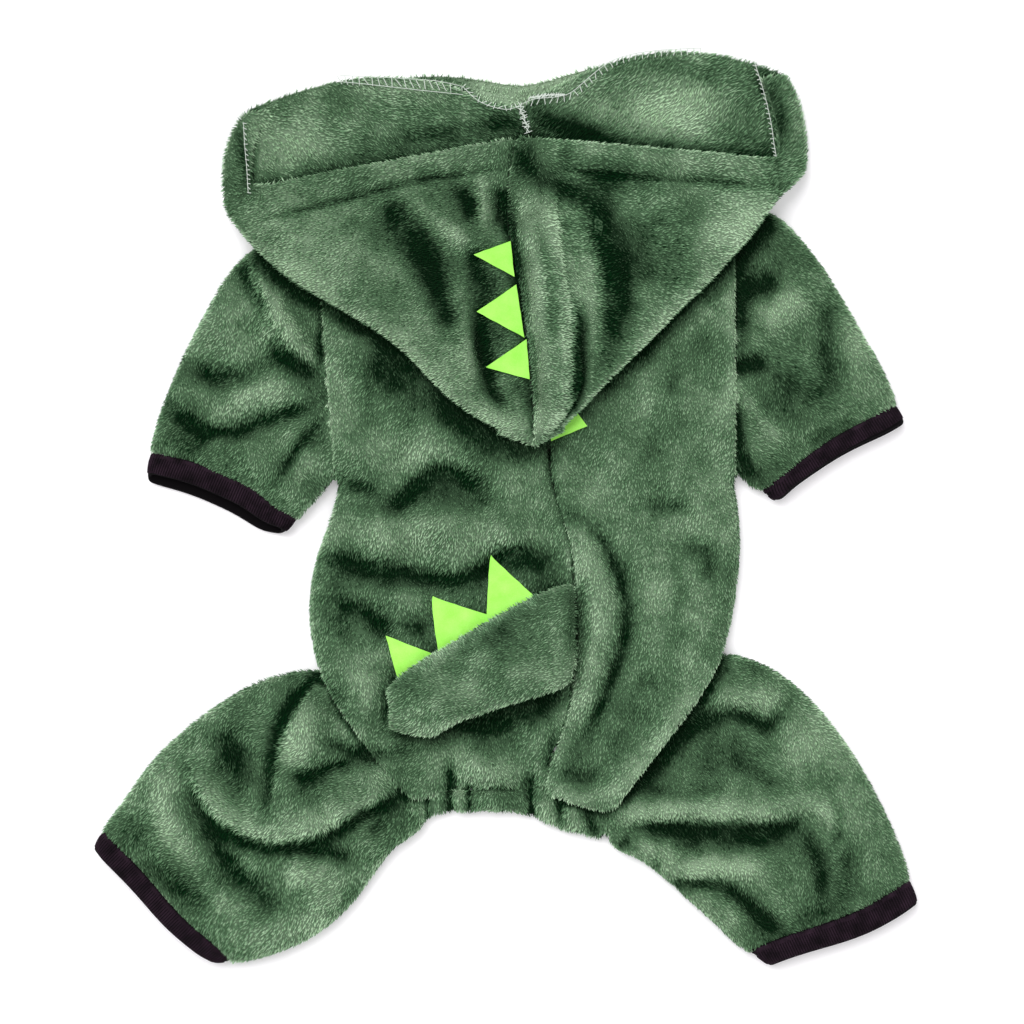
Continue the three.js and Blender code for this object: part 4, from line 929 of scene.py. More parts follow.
def rods_along(tree, given, heading, sides, steps):
    """Rods in even steps along the line that comes in, each turned to a heading, up to the tree's end."""
    curve = add(tree, "GeometryNodeMeshToCurve", None, Mesh=given["Geometry"])
    even = add(tree, "GeometryNodeResampleCurve", {"mode": "LENGTH"}, Curve=curve.outputs[0], Length=given["Pitch"])
    rod = add(
        tree, "GeometryNodeMeshCylinder", {"fill_type": "NGON"},
        Vertices=sides, Side_Segments=steps, Radius=given["Radius"], Depth=given["Length"],
    )
    turned = add(tree, "FunctionNodeAlignRotationToVector", {"axis": "Z"}, Vector=heading)
    placed = add(
        tree, "GeometryNodeInstanceOnPoints", None,
        Points=even.outputs[0], Instance=rod.outputs["Mesh"], Rotation=turned.outputs[0],
    )
    end_tree(tree, placed.outputs[0], given["Material"])


def pile_tree():
    """Short, pointed tufts strewn over a cloth, leaning the way that its pile is brushed."""
    tree, inputs = new_tree("pile", (
        ("Density", "NodeSocketFloat", 1350000.0),
        ("Length", "NodeSocketFloat", 0.0016),
        ("Width", "NodeSocketFloat", 0.00064),
        ("Lean", "NodeSocketFloat", 1.5),
        ("Stray", "NodeSocketFloat", 0.34),
        ("Seed", "NodeSocketInt", 41),
        ("Material", "NodeSocketMaterial", None),
    ))
    given = tree.nodes.new("NodeGroupInput").outputs
    named = lambda name, kind: add(tree, "GeometryNodeInputNamedAttribute", {"data_type": kind}, Name=name).outputs[0]
    math_node = lambda operation, a, b: add(tree, "ShaderNodeMath", {"operation": operation}, _0=a, _1=b).outputs[0]
    vector = lambda operation, a, b: add(tree, "ShaderNodeVectorMath", {"operation": operation}, _0=a, _1=b).outputs[0]
    density = math_node("MULTIPLY", given["Density"], named("pile", "FLOAT"))
    strewn = add(
        tree, "GeometryNodeDistributePointsOnFaces", {"distribute_method": "RANDOM"},
        Mesh=given["Geometry"], Density=density, Seed=given["Seed"],
    )
    scaled = lambda a, share: add(tree, "ShaderNodeVectorMath", {"operation": "SCALE"}, _0=a, Scale=share).outputs[0]
    lean = scaled(named("nap", "FLOAT_VECTOR"), given["Lean"])
    stray = add(tree, "FunctionNodeRandomValue", {"data_type": "FLOAT_VECTOR"}, Seed=given["Seed"])
    stray.inputs[0].default_value = [-most for most in STRAY_MOST]
    stray.inputs[1].default_value = STRAY_MOST
    scattered = scaled(stray.outputs[0], given["Stray"])
    heading = vector("ADD", vector("ADD", strewn.outputs["Normal"], lean), scattered)
    turned = add(tree, "FunctionNodeAlignRotationToVector", {"axis": "Z"}, Vector=heading)
    cone = add(
        tree, "GeometryNodeMeshCone", {"fill_type": "NGON"},
        Vertices=3, Radius_Top=0.0, Radius_Bottom=math_node("MULTIPLY", given["Width"], 0.5), Depth=given["Length"],
    )
    height = add(tree, "ShaderNodeSeparateXYZ", None, _0=add(tree, "GeometryNodeInputPosition").outputs[0])
    tip = math_node("DIVIDE", height.outputs["Z"], given["Length"])
    tuft = add(
        tree, "GeometryNodeStoreNamedAttribute", {"data_type": "FLOAT", "domain": "POINT"},
        Geometry=cone.outputs["Mesh"], Name="tip", Value=tip,
    )
    width = even_draw(tree, math_node("ADD", given["Seed"], SIZE_SEED), *TUFT_SIZES)
    length = math_node("MULTIPLY", width, named("pile_length", "FLOAT"))
    size = add(tree, "ShaderNodeCombineXYZ", None, X=width, Y=width, Z=length)
    placed = add(
        tree, "GeometryNodeInstanceOnPoints", None,
        Points=strewn.outputs["Points"], Instance=tuft.outputs[0], Rotation=turned.outputs[0], Scale=size.outputs[0],
    )
    shaded = add(
        tree, "GeometryNodeStoreNamedAttribute", {"data_type": "FLOAT", "domain": "INSTANCE"},
        Geometry=placed.outputs[0], Name="shade",
        Value=even_draw(tree, math_node("ADD", given["Seed"], SHADE_SEED), 0.0, 1.0),
    )
    end_tree(tree, shaded.outputs[0], given["Material"])
    return tree, inputs


def add_pile(node, tree, inputs, rays, settings, number):
    """The pile of one cloth piece, as a mesh of tufts."""
    cloth = bpy.data.objects["fleece_" + node]
    facts = CLOTH[node]
    share = open_share(cloth.data, rays)
    attribute(cloth.data, "pile", "FLOAT", share)
    tone = np.empty(len(cloth.data.vertices))
    cloth.data.attributes["tone"].data.foreach_get("value", tone)
    # Painted shade: the pile is darker where higher cloth stands close round it.
    tone = np.clip(tone - SHADE_DEPTH * painted_shade_share(cloth.data, rays), -TONE_LIMIT, TONE_LIMIT)
    cloth.data.attributes["tone"].data.foreach_set("value", tone.astype(np.float32))
    pile = new_piece("pile_" + node, cloth.data.copy())
    strew = pile.modifiers.new("Pile", "NODES")
    strew.node_group = tree
    strew[inputs["Density"]] = settings.density
    strew[inputs["Length"]] = facts["pile"] * MM
    strew[inputs["Width"]] = settings.width
    strew[inputs["Lean"]] = settings.lean
    strew[inputs["Stray"]] = settings.stray
    strew[inputs["Seed"]] = settings.seed + number
    strew[inputs["Material"]] = bpy.data.materials["fleece_pile"]
    settled(pile)
    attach(pile, BODY)
    return pile


def shader(name):
    """A material with its Principled BSDF, and its tree."""
    material = bpy.data.materials.new(name)
    material.use_nodes = True
    return material, material.node_tree, material.node_tree.nodes["Principled BSDF"]


def set_finish(bsdf, roughness, specular, sheen, tint, sheen_roughness):
    """How matt a material is, and how its nap shines at the edges."""
    bsdf.inputs["Roughness"].default_value = roughness
    bsdf.inputs["Specular IOR Level"].default_value = specular
    bsdf.inputs["Sheen Weight"].default_value = sheen
    bsdf.inputs["Sheen Tint"].default_value = (*tint, 1.0)
    bsdf.inputs["Sheen Roughness"].default_value = sheen_roughness


def colour_ramp(tree, value, stops, colours):
    """Turns a value into a colour, with one colour at each stop."""
    made = add(tree, "ShaderNodeValToRGB", None, Fac=value)
    elements = made.color_ramp.elements
    while len(elements) < len(stops):
        elements.new(0.5)
    for element, place, colour in zip(elements, stops, colours):
        element.position = place
        element.color = (*colour, 1.0)
    return made.outputs["Color"]


def fleece_material(name, settings, is_pile):
    """Brushed pile: light and dark where it lies this way and that, with painted shade in creases, under
    taller cloth, towards its roots and on the cloth beneath, and painted highlight on turned edges.
    """
    material, tree, bsdf = shader(name)
    place = tree.nodes.new("ShaderNodeTexCoord").outputs["Object"]
    calc = lambda operation, a, b: add(tree, "ShaderNodeMath", {"operation": operation}, _0=a, _1=b).outputs[0]
    read = lambda label: add(tree, "ShaderNodeAttribute", {"attribute_name": label}).outputs["Fac"]
    noise = lambda kind: add(tree, "ShaderNodeTexNoise", None, Vector=place, **kind).outputs["Fac"]
    value = calc("MULTIPLY_ADD", read("tone"), TONE_SHARE)
    value.node.inputs[2].default_value = TONE_MIDDLE
    value = calc("ADD", value, calc("MULTIPLY", calc("SUBTRACT", noise(PATCH_NOISE), 0.5), settings.patches))
    value = calc("ADD", value, calc("MULTIPLY", calc("SUBTRACT", noise(MOTTLE_NOISE), 0.5), MOTTLE_SHARE))
    if is_pile:
        chance = calc("SUBTRACT", calc("POWER", read("shade"), 0.5), SHADE_MEAN)
        value = calc("ADD", value, calc("MULTIPLY", chance, settings.fleck))
    colour = colour_ramp(tree, value, COLOUR_STOPS, (settings.dark, settings.middle, settings.light))
    if is_pile:
        shadow = add(tree, "ShaderNodeMapRange", None, Value=read("tip"), **ROOT_TO_TIP).outputs[0]
    else:
        shadow = GROUND_SHADE
    shaded = add(tree, "ShaderNodeVectorMath", {"operation": "SCALE"}, _0=colour, Scale=shadow)
    tree.links.new(shaded.outputs[0], bsdf.inputs["Base Color"])
    bump = add(tree, "ShaderNodeBump", None, Height=noise(PILE_GRAIN), **PILE_BUMP)
    tree.links.new(bump.outputs[0], bsdf.inputs["Normal"])
    set_finish(bsdf, roughness=0.85, specular=0.06, sheen=settings.sheen, tint=settings.light, sheen_roughness=0.45)
    return material


def plain_cloth_material(name, colours, scale, strength, distance, sheen):
    """A matt cloth of two mixed colours with a fine grain: felt, knit or thread."""
    material, tree, bsdf = shader(name)
    place = tree.nodes.new("ShaderNodeTexCoord").outputs["Object"]
    grain = add(tree, "ShaderNodeTexNoise", None, Vector=place, Scale=scale, Detail=4.0, Roughness=0.65).outputs["Fac"]
    cloud = add(tree, "ShaderNodeTexNoise", None, Vector=place, Scale=scale / CLOUD_SHARE, Detail=2.0).outputs["Fac"]
    half = add(tree, "ShaderNodeMath", {"operation": "ADD"}, _0=grain, _1=cloud).outputs[0]
    mixed = add(tree, "ShaderNodeMath", {"operation": "MULTIPLY"}, _0=half, _1=0.5).outputs[0]
    colour = colour_ramp(tree, mixed, PLAIN_STOPS, colours)
    tree.links.new(colour, bsdf.inputs["Base Color"])
    bump = add(tree, "ShaderNodeBump", None, Height=grain, Strength=strength, Distance=distance)
    tree.links.new(bump.outputs[0], bsdf.inputs["Normal"])
    set_finish(bsdf, roughness=0.88, specular=0.12, sheen=sheen, tint=colours[1], sheen_roughness=0.5)
    return material


def rib_tree():
    """Thin rods in even steps along a closed line, each turned along the cuff."""
    tree, inputs = new_tree("ribs", (
        ("Pitch", "NodeSocketFloat", 0.00115),
        ("Length", "NodeSocketFloat", 0.009),
        ("Radius", "NodeSocketFloat", 0.00046),
        ("Across", "NodeSocketVector", None),
        ("Material", "NodeSocketMaterial", None),
    ))
    given = tree.nodes.new("NodeGroupInput").outputs
    rods_along(tree, given, given["Across"], ROD_SIDES, ROD_STEPS)
    return tree, inputs


def stitch_tree():
    """Short threads in even steps along a line, each turned from the line by a slant."""
    tree, inputs = new_tree("stitches", (
        ("Pitch", "NodeSocketFloat", 0.0029),
        ("Length", "NodeSocketFloat", 0.0032),
        ("Radius", "NodeSocketFloat", 0.00017),
        ("Slant", "NodeSocketFloat", 1.2),
        ("Uneven", "NodeSocketFloat", 0.5),
        ("Seed", "NodeSocketInt", CLOTH_SEED),
        ("Material", "NodeSocketMaterial", None),
    ))
    given = tree.nodes.new("NodeGroupInput").outputs
    tangent = add(tree, "GeometryNodeInputTangent").outputs[0]
    calc = lambda operation, a, b: add(tree, "ShaderNodeMath", {"operation": operation}, _0=a, _1=b).outputs[0]
    swing = calc("MULTIPLY", even_draw(tree, given["Seed"], -1.0, 1.0), given["Uneven"])
    slanted = add(
        tree, "ShaderNodeVectorRotate", {"rotation_type": "Z_AXIS"},
        Vector=tangent, Angle=calc("ADD", given["Slant"], swing),
    )
    rods_along(tree, given, slanted.outputs[0], THREAD_SIDES, 1)
    return tree, inputs


def line_piece(name, points, closed=False):
    """A piece of one line of edges through points in metres."""
    count = len(points)
    edges = [(k, k + 1) for k in range(count - 1)] + ([(count - 1, 0)] if closed else [])
    mesh = bpy.data.meshes.new(name)
    mesh.from_pydata([tuple(p) for p in points], edges, [])
    return new_piece(name, mesh)


def trimmed(place, corners, shown, tuck, sink):
    """Points of a felt triangle in millimetres, moved so that its corners lie where it was cut."""
    apex, one, other = (np.array(c) for c in corners)
    shares = (place[:, :2] - other) @ np.linalg.inv(np.stack([apex - other, one - other]))
    rest = 1.0 - shares.sum(axis=1)
    up = np.minimum(shares[:, 0] / FELT_TIP, FELT_FULL)
    scale = (1.0 - up) / (1.0 - shares[:, 0])
    moved = place.copy()
    moved[:, :2] = np.outer(up, shown[0]) + np.outer(shares[:, 1] * scale, shown[1]) + np.outer(rest * scale, shown[2])
    moved[:, 2] -= tuck * rest * scale + sink * (1.0 - ramp(0.0, FELT_BASE, up))
    return moved


def ring_round(piece, centre, across):
    """The outer line round a cuff where a plane across it cuts its mesh, as points in order."""
    cut = bmesh.new()
    cut.from_mesh(piece.data)
    found = bmesh.ops.bisect_plane(
        cut, geom=cut.verts[:] + cut.edges[:] + cut.faces[:], plane_co=centre, plane_no=across
    )
    edges = [e for e in found["geom_cut"] if isinstance(e, bmesh.types.BMEdge)]
    near = {}
    for edge in edges:
        one, other = edge.verts
        near.setdefault(one, []).append(other)
        near.setdefault(other, []).append(one)
    loops = []
    left = dict.fromkeys(near)
    while left:
        start = left.popitem()[0]
        loop = [start]
        step = next((v for v in near[start] if v in left), None)
        while step is not None:
            del left[step]
            loop.append(step)
            step = next((v for v in near[step] if v in left), None)
        loops.append([v.co.copy() for v in loop])
    cut.free()
    length = lambda loop: sum((a - b).length for a, b in zip(loop, loop[1:] + loop[:1]))
    return max(loops, key=length)


def laid_on(part, tree):
    """Bends the rods of a part so that the middle of each ring of points lies on a surface."""
    rings = positions(part.data).reshape(-1, ROD_SIDES, 3)
    for ring in rings:
        middle = Vector(ring.mean(axis=0))
        ring += np.array(tree.find_nearest(middle)[0] - middle)
    put_points(part.data, rings)


def strung(name, tree, inputs, points, values, closed, material):
    """Runs a tree along a line and keeps the result as a plain piece."""
    piece = line_piece(name, points, closed)
    string = piece.modifiers.new("Along", "NODES")
    string.node_group = tree
    for label, value in values.items():
        string[inputs[label]] = value
    string[inputs["Material"]] = bpy.data.materials[material]
    settled(piece)
    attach(piece, BODY)
    return piece


def thread_line(name, points, radius):
    """A round thread that runs through points."""
    curve = bpy.data.curves.new(name, "CURVE")
    curve.dimensions = "3D"
    curve.bevel_depth = radius
    curve.bevel_resolution = 1
    curve.use_fill_caps = True
    spline = curve.splines.new("POLY")
    spline.points.add(len(points) - 1)
    for knot, place in zip(spline.points, points):
        knot.co = (*place, 1.0)
    source = new_piece(name + "_line", curve)
    bpy.context.view_layer.update()
    mesh = bpy.data.meshes.new_from_object(source.evaluated_get(bpy.context.evaluated_depsgraph_get()))
    bpy.data.objects.remove(source)
    bpy.data.curves.remove(curve)
    mesh.name = name
    mesh.materials.clear()
    mesh.materials.append(bpy.data.materials["white_thread"])
    piece = new_piece(name, mesh)
    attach(piece, BODY)
    return piece


def on_cloth(rays, plan, lift):
    """Points in metres on top of the cloth along a plan line in millimetres, in even steps."""
    path = np.array(plan, float)
    lengths = np.linalg.norm(np.diff(path, axis=0), axis=1)
    starts = np.concatenate([[0.0], np.cumsum(lengths)])
    even = np.linspace(0.0, starts[-1], max(int(starts[-1] / LINE_STEP), 2))
    xs = np.interp(even, starts, path[:, 0])
    ys = np.interp(even, starts, path[:, 1])
    if len(xs) > LINE_SOFT_FROM:
        soft = lambda v: np.concatenate([v[:1], (v[:-2] + 2.0 * v[1:-1] + v[2:]) / 4.0, v[-1:]])
        for _ in range(LINE_SOFT):
            xs, ys = soft(xs), soft(ys)
    heights = np.full(len(xs), np.nan)
    down = Vector((0.0, 0.0, -1.0))
    for k, (x, y) in enumerate(zip(xs, ys)):
        hits = [
            rays.ray_cast(Vector(((x + dx) * MM, (y + dy) * MM, ABOVE_ALL)), down)[0]
            for dx, dy in ((0, 0), (THREAD_ROOM, 0), (-THREAD_ROOM, 0), (0, THREAD_ROOM), (0, -THREAD_ROOM))
        ]
        found = [hit.z for hit in hits if hit is not None]
        if found:
            heights[k] = max(found)
    known = ~np.isnan(heights)
    if not known.any():
        raise RuntimeError("a line of stitches lies beside the cloth")
    heights = np.interp(even, even[known], heights[known])
    for _ in range(HEIGHT_SOFT):
        heights = np.concatenate([heights[:1], (heights[:-2] + heights[1:-1] + heights[2:]) / 3.0, heights[-1:]])
    return [Vector((x * MM, y * MM, z + lift * MM)) for x, y, z in zip(xs, ys, heights)]


def beside(points, offset):
    """A line set off to the left of another in plan, in metres."""
    moved = []
    for k, point in enumerate(points):
        ahead = points[min(k + 1, len(points) - 1)] - points[max(k - 1, 0)]
        side = Vector((-ahead.y, ahead.x, 0.0)).normalized()
        moved.append(point + side * offset)
    return moved


class PileSettings(bpy.types.PropertyGroup):
    """How the brushed pile of the cloth stands and what colours it has."""

    density: bpy.props.FloatProperty(
        name="Density", description="Tufts on a square metre of cloth", default=1350000.0, min=0.0
    )
    width: bpy.props.FloatProperty(
        name="Tuft width", description="Width of a tuft at its root", default=0.00064, min=0.0001, subtype="DISTANCE"
    )
    lean: bpy.props.FloatProperty(
        name="Lean", description="How far tufts lean the way they are brushed, as a share of their height",
        default=1.5, min=0.0,
    )
    stray: bpy.props.FloatProperty(
        name="Stray", description="How far single tufts stray from that way", default=0.34, min=0.0
    )
    seed: bpy.props.IntProperty(name="Seed", description="Start of the random draws", default=41)
    fleck: bpy.props.FloatProperty(
        name="Fleck", description="How much lighter or darker single tufts are", default=0.50, min=0.0
    )
    patches: bpy.props.FloatProperty(
        name="Patches", description="How much lighter or darker brushed patches are", default=0.55, min=0.0
    )
    sheen: bpy.props.FloatProperty(
        name="Sheen", description="Soft light along the edges of the pile", default=0.08, min=0.0, max=1.0
    )
    # The dark and light colours also give the painted shade in creases and under taller cloth and the painted highlight
    # on turned edges.
    dark: bpy.props.FloatVectorProperty(
        name="Dark", description="Colour of the pile that is brushed away from the light", subtype="COLOR",
        default=(0.001, 0.024, 0.005), min=0.0, max=1.0,
    )
    middle: bpy.props.FloatVectorProperty(
        name="Middle", description="Main colour of the pile", subtype="COLOR",
        default=(0.158, 0.306, 0.159), min=0.0, max=1.0,
    )
    light: bpy.props.FloatVectorProperty(
        name="Light", description="Colour of the pile that is brushed towards the light", subtype="COLOR",
        default=(0.560, 0.780, 0.520), min=0.0, max=1.0,
    )


class TrimSettings(bpy.types.PropertyGroup):
    """Rib bindings, felt spikes and white sewing thread."""

    rib_pitch: bpy.props.FloatProperty(
        name="Rib pitch", description="From one rib of the knit to the next", default=0.00115, min=0.0003,
        subtype="DISTANCE",
    )
    rib_radius: bpy.props.FloatProperty(
        name="Rib radius", description="Radius of one rib", default=0.00046, min=0.0001, subtype="DISTANCE"
    )
    knit_dark: bpy.props.FloatVectorProperty(
        name="Knit, dark", description="Darker colour of the rib knit", subtype="COLOR",
        default=(0.0012, 0.0005, 0.0012), min=0.0, max=1.0,
    )
    knit_light: bpy.props.FloatVectorProperty(
        name="Knit, light", description="Lighter colour of the rib knit", subtype="COLOR",
        default=(0.027, 0.0135, 0.024), min=0.0, max=1.0,
    )
    felt_dark: bpy.props.FloatVectorProperty(
        name="Felt, dark", description="Darker colour of the felt", subtype="COLOR",
        default=(0.31, 0.80, 0.09), min=0.0, max=1.0,
    )
    felt_light: bpy.props.FloatVectorProperty(
        name="Felt, light", description="Lighter colour of the felt", subtype="COLOR",
        default=(0.43, 0.94, 0.16), min=0.0, max=1.0,
    )
    thread_colour: bpy.props.FloatVectorProperty(
        name="Thread", description="Colour of the sewing thread", subtype="COLOR",
        default=(0.62, 0.68, 0.62), min=0.0, max=1.0,
    )
    thread_radius: bpy.props.FloatProperty(
        name="Thread radius", description="Radius of the sewing thread", default=0.00017, min=0.00005,
        subtype="DISTANCE",
    )


class StageSettings(bpy.types.PropertyGroup):
    """Floor, lights and camera."""

    view_width: bpy.props.FloatProperty(
        name="View width", description="What the camera takes in across the garment", default=0.4608,
        subtype="DISTANCE",
    )
    camera_height: bpy.props.FloatProperty(
        name="Camera height", description="Camera above the table", default=1.6, subtype="DISTANCE"
    )
    view_centre: bpy.props.FloatVectorProperty(
        name="View centre", description="Middle of the view on the table", size=3, subtype="TRANSLATION",
        default=(0.00455, -0.00116, 0.010),
    )
    floor_colour: bpy.props.FloatVectorProperty(
        name="Floor", description="Colour of the table", subtype="COLOR", default=(0.93, 0.915, 0.935), min=0.0, max=1.0
    )
    table_glow: bpy.props.FloatProperty(
        name="Table glow", description="How much the white table shines by itself", default=0.16, min=0.0
    )
    sky: bpy.props.FloatProperty(name="Even light", description="Strength of the light from all round", default=0.50)
    key: bpy.props.FloatProperty(name="Main light", description="Strength of the large soft light", default=2.5)


class COSTUME_OT_materials(bpy.types.Operator):
    """Makes the materials of the pile cloth, the rib knit, the felt and the thread"""

    bl_idname = "costume.materials"
    bl_label = "Materials"

    def execute(self, context):
        pile = context.scene.costume_pile
        trims = context.scene.costume_trims
        fleece_material("fleece_ground", pile, False)
        fleece_material("fleece_pile", pile, True)
        for name, colours, *grain in PLAIN_CLOTHS:
            plain_cloth_material(name, [getattr(trims, colour) for colour in colours], *grain)
        return {"FINISHED"}


class COSTUME_OT_body_cloth(bpy.types.Operator):
    """Makes the pile cloth of the back and the belly"""

    bl_idname = "costume.body_cloth"
    bl_label = "Body cloth"

    def execute(self, context):
        for node in ("back_left", "back_right", "belly"):
            creased_cloth(node)
        return {"FINISHED"}


class COSTUME_OT_limb_cloth(bpy.types.Operator):
    """Makes the pile cloth of the sleeves and the hind legs"""

    bl_idname = "costume.limb_cloth"
    bl_label = "Limb cloth"

    def execute(self, context):
        for node in ("sleeve_left", "sleeve_right", "leg_left", "leg_right"):
            creased_cloth(node)
        return {"FINISHED"}


class COSTUME_OT_hood_cloth(bpy.types.Operator):
    """Makes the pile cloth of the hood that is laid back over the body"""

    bl_idname = "costume.hood_cloth"
    bl_label = "Hood cloth"

    def execute(self, context):
        for node in ("hood_left", "hood_right"):
            creased_cloth(node)
        return {"FINISHED"}


class COSTUME_OT_tail_cloth(bpy.types.Operator):
    """Makes the pile cloth of the tail and of the gathered hem under it"""

    bl_idname = "costume.tail_cloth"
    bl_label = "Tail and hem cloth"

    def execute(self, context):
        for node in ("tail_upper", "tail_under", "hem_casing"):
            creased_cloth(node)
        return {"FINISHED"}


class COSTUME_OT_bindings(bpy.types.Operator):
    """Makes the four rib bindings, with their ribs and the row of stitches next to the cloth"""

    bl_idname = "costume.bindings"
    bl_label = "Rib bindings"

    def execute(self, context):
        trims = context.scene.costume_trims
        ribs, rib_inputs = rib_tree()
        for node, facts in BINDINGS.items():
            piece = copy_of_node(node, "knit_" + node)
            refine(piece, CUFF_LEVELS)
            soften_outline(piece, CUFF_SOFT)
            settled(piece)
            # The knit base shows only in the gaps between the ribs, painted in shade.
            piece.data.materials.append(bpy.data.materials["rib_gaps"])
            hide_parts(node)
            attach(piece, BODY)
            across = Vector((*flat_way(facts["axis"]), 0.0))
            depths = positions(piece.data) @ np.array(across)
            base = Vector(positions(piece.data).mean(axis=0))
            base -= across * base.dot(across)
            start = float(depths.min()) - RIB_START * MM
            rods = strung(
                "ribs_" + node, ribs, rib_inputs,
                ring_round(piece, base + across * (start + facts["ribs"] / 2.0), across),
                {"Pitch": trims.rib_pitch, "Length": facts["ribs"], "Radius": trims.rib_radius, "Across": across},
                True, "rib_knit",
            )
            seam = strung(
                "seam_" + node, ribs, rib_inputs, ring_round(piece, base + across * (start + SEAM_STITCH), across),
                {"Pitch": SEAM_PITCH, "Length": SEAM_STITCH, "Radius": SEAM_RADIUS, "Across": across},
                True, "rib_knit",
            )
            surface = tree_of([piece])
            laid_on(rods, surface)
            laid_on(seam, surface)
            for part in (piece, rods, seam):
                place = positions(part.data)
                reach = place @ np.array(across) - depths.min()
                inner = np.clip(1.0 - reach / (depths.max() - depths.min()), 0.0, 1.0)
                place += np.outer(reach * (facts["wide"] - 1.0) - CUFF_TUCK * MM * inner, across)
                put_points(part.data, place)
                pull_cloth(part.data, facts["pulls"])
        return {"FINISHED"}


class COSTUME_OT_spikes(bpy.types.Operator):
    """Makes the felt spikes down the back and the tail"""

    bl_idname = "costume.spikes"
    bl_label = "Felt spikes"

    def execute(self, context):
        for number, (node, facts) in enumerate(SPIKES.items()):
            piece = copy_of_node(node, "felt_" + node, join=False)
            refine(piece, FELT_LEVELS, "SIMPLE")
            settled(piece)
            place = positions(piece.data)
            place = trimmed(place / MM, facts["corners"], facts["shown"], facts["tuck"], facts["sink"]) * MM
            plan = place[:, :2] / MM
            uneven = FELT_UNEVEN * MM * waves(plan, FELT_WAVE, CLOTH_SEED + FELT_SEED + number)
            place += normals(piece.data) * uneven[:, None]
            put_points(piece.data, place)
            piece.data.set_sharp_from_angle(angle=math.radians(FELT_EDGE))
            piece.data.materials.append(bpy.data.materials["lime_felt"])
            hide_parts(node)
            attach(piece, BODY)
        return {"FINISHED"}


class COSTUME_OT_pile(bpy.types.Operator):
    """Grows the brushed pile on all the cloth"""

    bl_idname = "costume.pile"
    bl_label = "Pile"

    def execute(self, context):
        settings = context.scene.costume_pile
        tree, inputs = pile_tree()
        rays = tree_of(all_cloth())
        for node in CLOTH:
            close_seams(bpy.data.objects["fleece_" + node].data, rays)
        rays = tree_of(all_cloth())
        for number, (node, facts) in enumerate(CLOTH.items()):
            pile = add_pile(node, tree, inputs, rays, settings, number)
        return {"FINISHED"}


class COSTUME_OT_stitches(bpy.types.Operator):
    """Sews the white edge stitches round the neck, down the nape and on the hood's facings"""

    bl_idname = "costume.stitches"
    bl_label = "Stitches"

    def execute(self, context):
        radius = context.scene.costume_trims.thread_radius
        rays = tree_of(all_cloth())
        tree, inputs = stitch_tree()
        for name, path, length, pitch, slant, uneven, side in STITCHES:
            line = on_cloth(rays, path, STITCH_LIFT)
            strung(
                "stitches_" + name, tree, inputs, beside(line, side * MM),
                {"Pitch": pitch * MM, "Length": length * MM, "Radius": radius, "Slant": math.radians(slant),
                 "Uneven": uneven, "Seed": CLOTH_SEED},
                False, "white_thread",
            )
        for name, path in RAILS:
            thread_line("rail_" + name, on_cloth(rays, path, STITCH_LIFT + RAIL_LIFT), radius * RAIL_WIDTH)
        return {"FINISHED"}


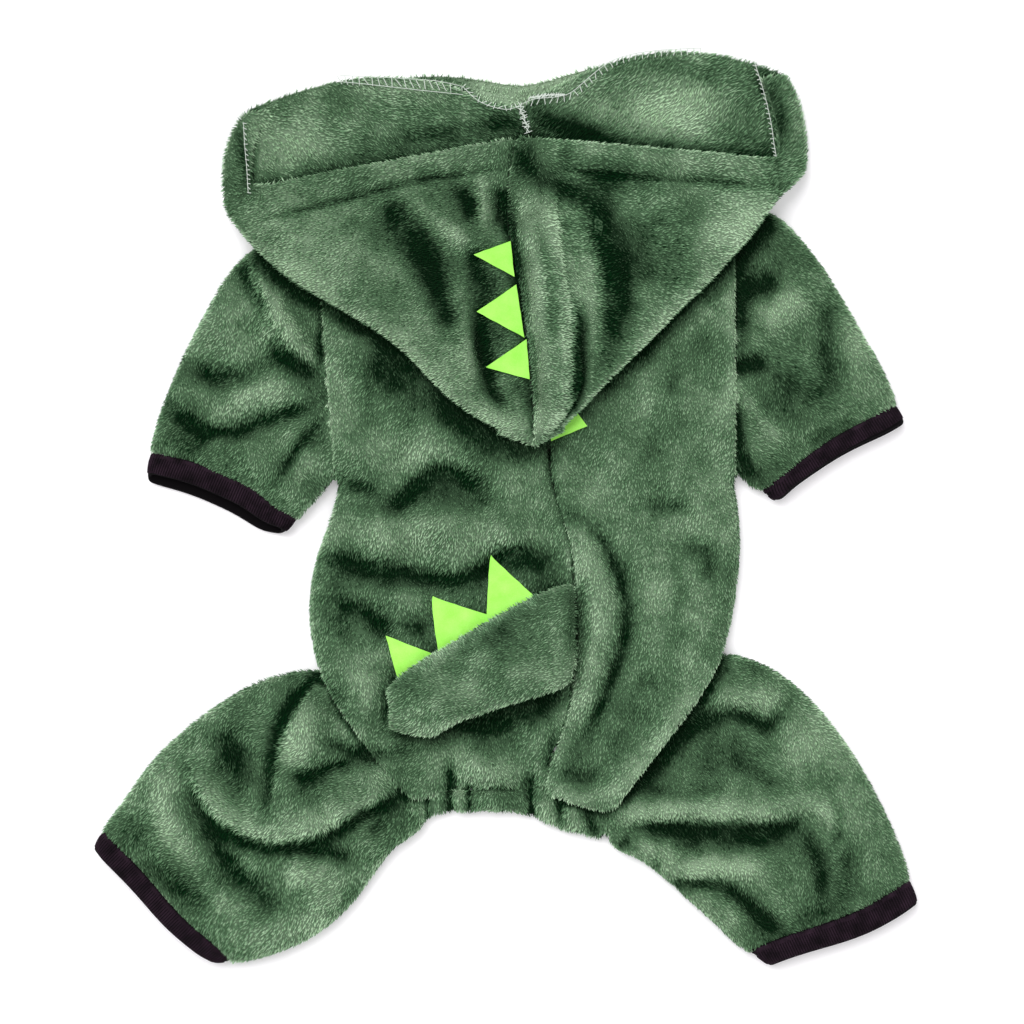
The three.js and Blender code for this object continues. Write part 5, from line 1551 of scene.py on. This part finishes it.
class COSTUME_OT_stage(bpy.types.Operator):
    """Sets the table, the soft light and the camera that looks straight down"""

    bl_idname = "costume.stage"
    bl_label = "Stage"

    def execute(self, context):
        scene = context.scene
        settings = scene.costume_stage
        mesh = bpy.data.meshes.new("table")
        corners = [(x * TABLE_HALF, y * TABLE_HALF, 0.0) for x, y in ((-1, -1), (1, -1), (1, 1), (-1, 1))]
        mesh.from_pydata(corners, [], [(0, 1, 2, 3)])
        table = new_piece("table", mesh)
        material, tree, bsdf = shader("table_paint")
        bsdf.inputs["Base Color"].default_value = (*settings.floor_colour, 1.0)
        set_finish(bsdf, roughness=0.9, specular=0.1, sheen=0.0, tint=(1.0, 1.0, 1.0), sheen_roughness=0.5)
        bsdf.inputs["Emission Color"].default_value = (*GLOW, 1.0)
        bsdf.inputs["Emission Strength"].default_value = settings.table_glow
        mesh.materials.append(material)
        world = bpy.data.worlds.new("soft_room")
        scene.world = world
        world.use_nodes = True
        sky = world.node_tree.nodes["Background"]
        sky.inputs["Color"].default_value = (1.0, 1.0, 1.0, 1.0)
        sky.inputs["Strength"].default_value = settings.sky
        for name, share, softness, tilt in LIGHTS:
            lamp = bpy.data.lights.new(name, "SUN")
            lamp.energy = settings.key * share
            lamp.angle = math.radians(softness)
            light = new_piece(name, lamp)
            light.location = (0.0, 0.0, LIGHT_HEIGHT)
            light.rotation_euler = (math.radians(tilt[0]), math.radians(tilt[1]), 0.0)
        lens = bpy.data.cameras.new("camera")
        lens.sensor_width = SENSOR
        lens.lens = SENSOR * settings.camera_height / settings.view_width
        camera = new_piece("camera", lens)
        camera.location = Vector(settings.view_centre) + Vector((0.0, 0.0, settings.camera_height))
        scene.camera = camera
        scene.view_settings.view_transform = "Standard"
        return {"FINISHED"}


PIECES = (
    COSTUME_OT_materials, COSTUME_OT_body_cloth, COSTUME_OT_limb_cloth, COSTUME_OT_hood_cloth,
    COSTUME_OT_tail_cloth, COSTUME_OT_bindings, COSTUME_OT_spikes, COSTUME_OT_pile, COSTUME_OT_stitches,
    COSTUME_OT_stage,
)


class COSTUME_PT_panel(bpy.types.Panel):
    """Settings of the costume's looks, and a button for each group of pieces"""

    bl_idname = "COSTUME_PT_panel"
    bl_label = "Dog costume"
    bl_space_type = "VIEW_3D"
    bl_region_type = "UI"
    bl_category = "Costume"

    def draw(self, context):
        for label, settings in (
            ("Pile", context.scene.costume_pile),
            ("Trims", context.scene.costume_trims),
            ("Stage", context.scene.costume_stage),
        ):
            box = self.layout.box()
            box.label(text=label)
            for name in settings.__annotations__:
                box.prop(settings, name)
        for operator in PIECES:
            self.layout.operator(operator.bl_idname)


SETTINGS = {
    "costume_pile": PileSettings,
    "costume_trims": TrimSettings,
    "costume_stage": StageSettings,
}


def register():
    for name, kind in SETTINGS.items():
        bpy.utils.register_class(kind)
        setattr(bpy.types.Scene, name, bpy.props.PointerProperty(type=kind))
    for kind in PIECES:
        bpy.utils.register_class(kind)
    bpy.utils.register_class(COSTUME_PT_panel)


def unregister():
    bpy.utils.unregister_class(COSTUME_PT_panel)
    for kind in reversed(PIECES):
        bpy.utils.unregister_class(kind)
    for name, kind in SETTINGS.items():
        delattr(bpy.types.Scene, name)
        bpy.utils.unregister_class(kind)


def main():
    register()
    bpy.ops.costume.materials()
    bpy.ops.costume.body_cloth()
    bpy.ops.costume.limb_cloth()
    bpy.ops.costume.hood_cloth()
    bpy.ops.costume.tail_cloth()
    bpy.ops.costume.bindings()
    bpy.ops.costume.spikes()
    bpy.ops.costume.pile()
    bpy.ops.costume.stitches()
    bpy.ops.costume.stage()


if __name__ == "__main__":
    main()
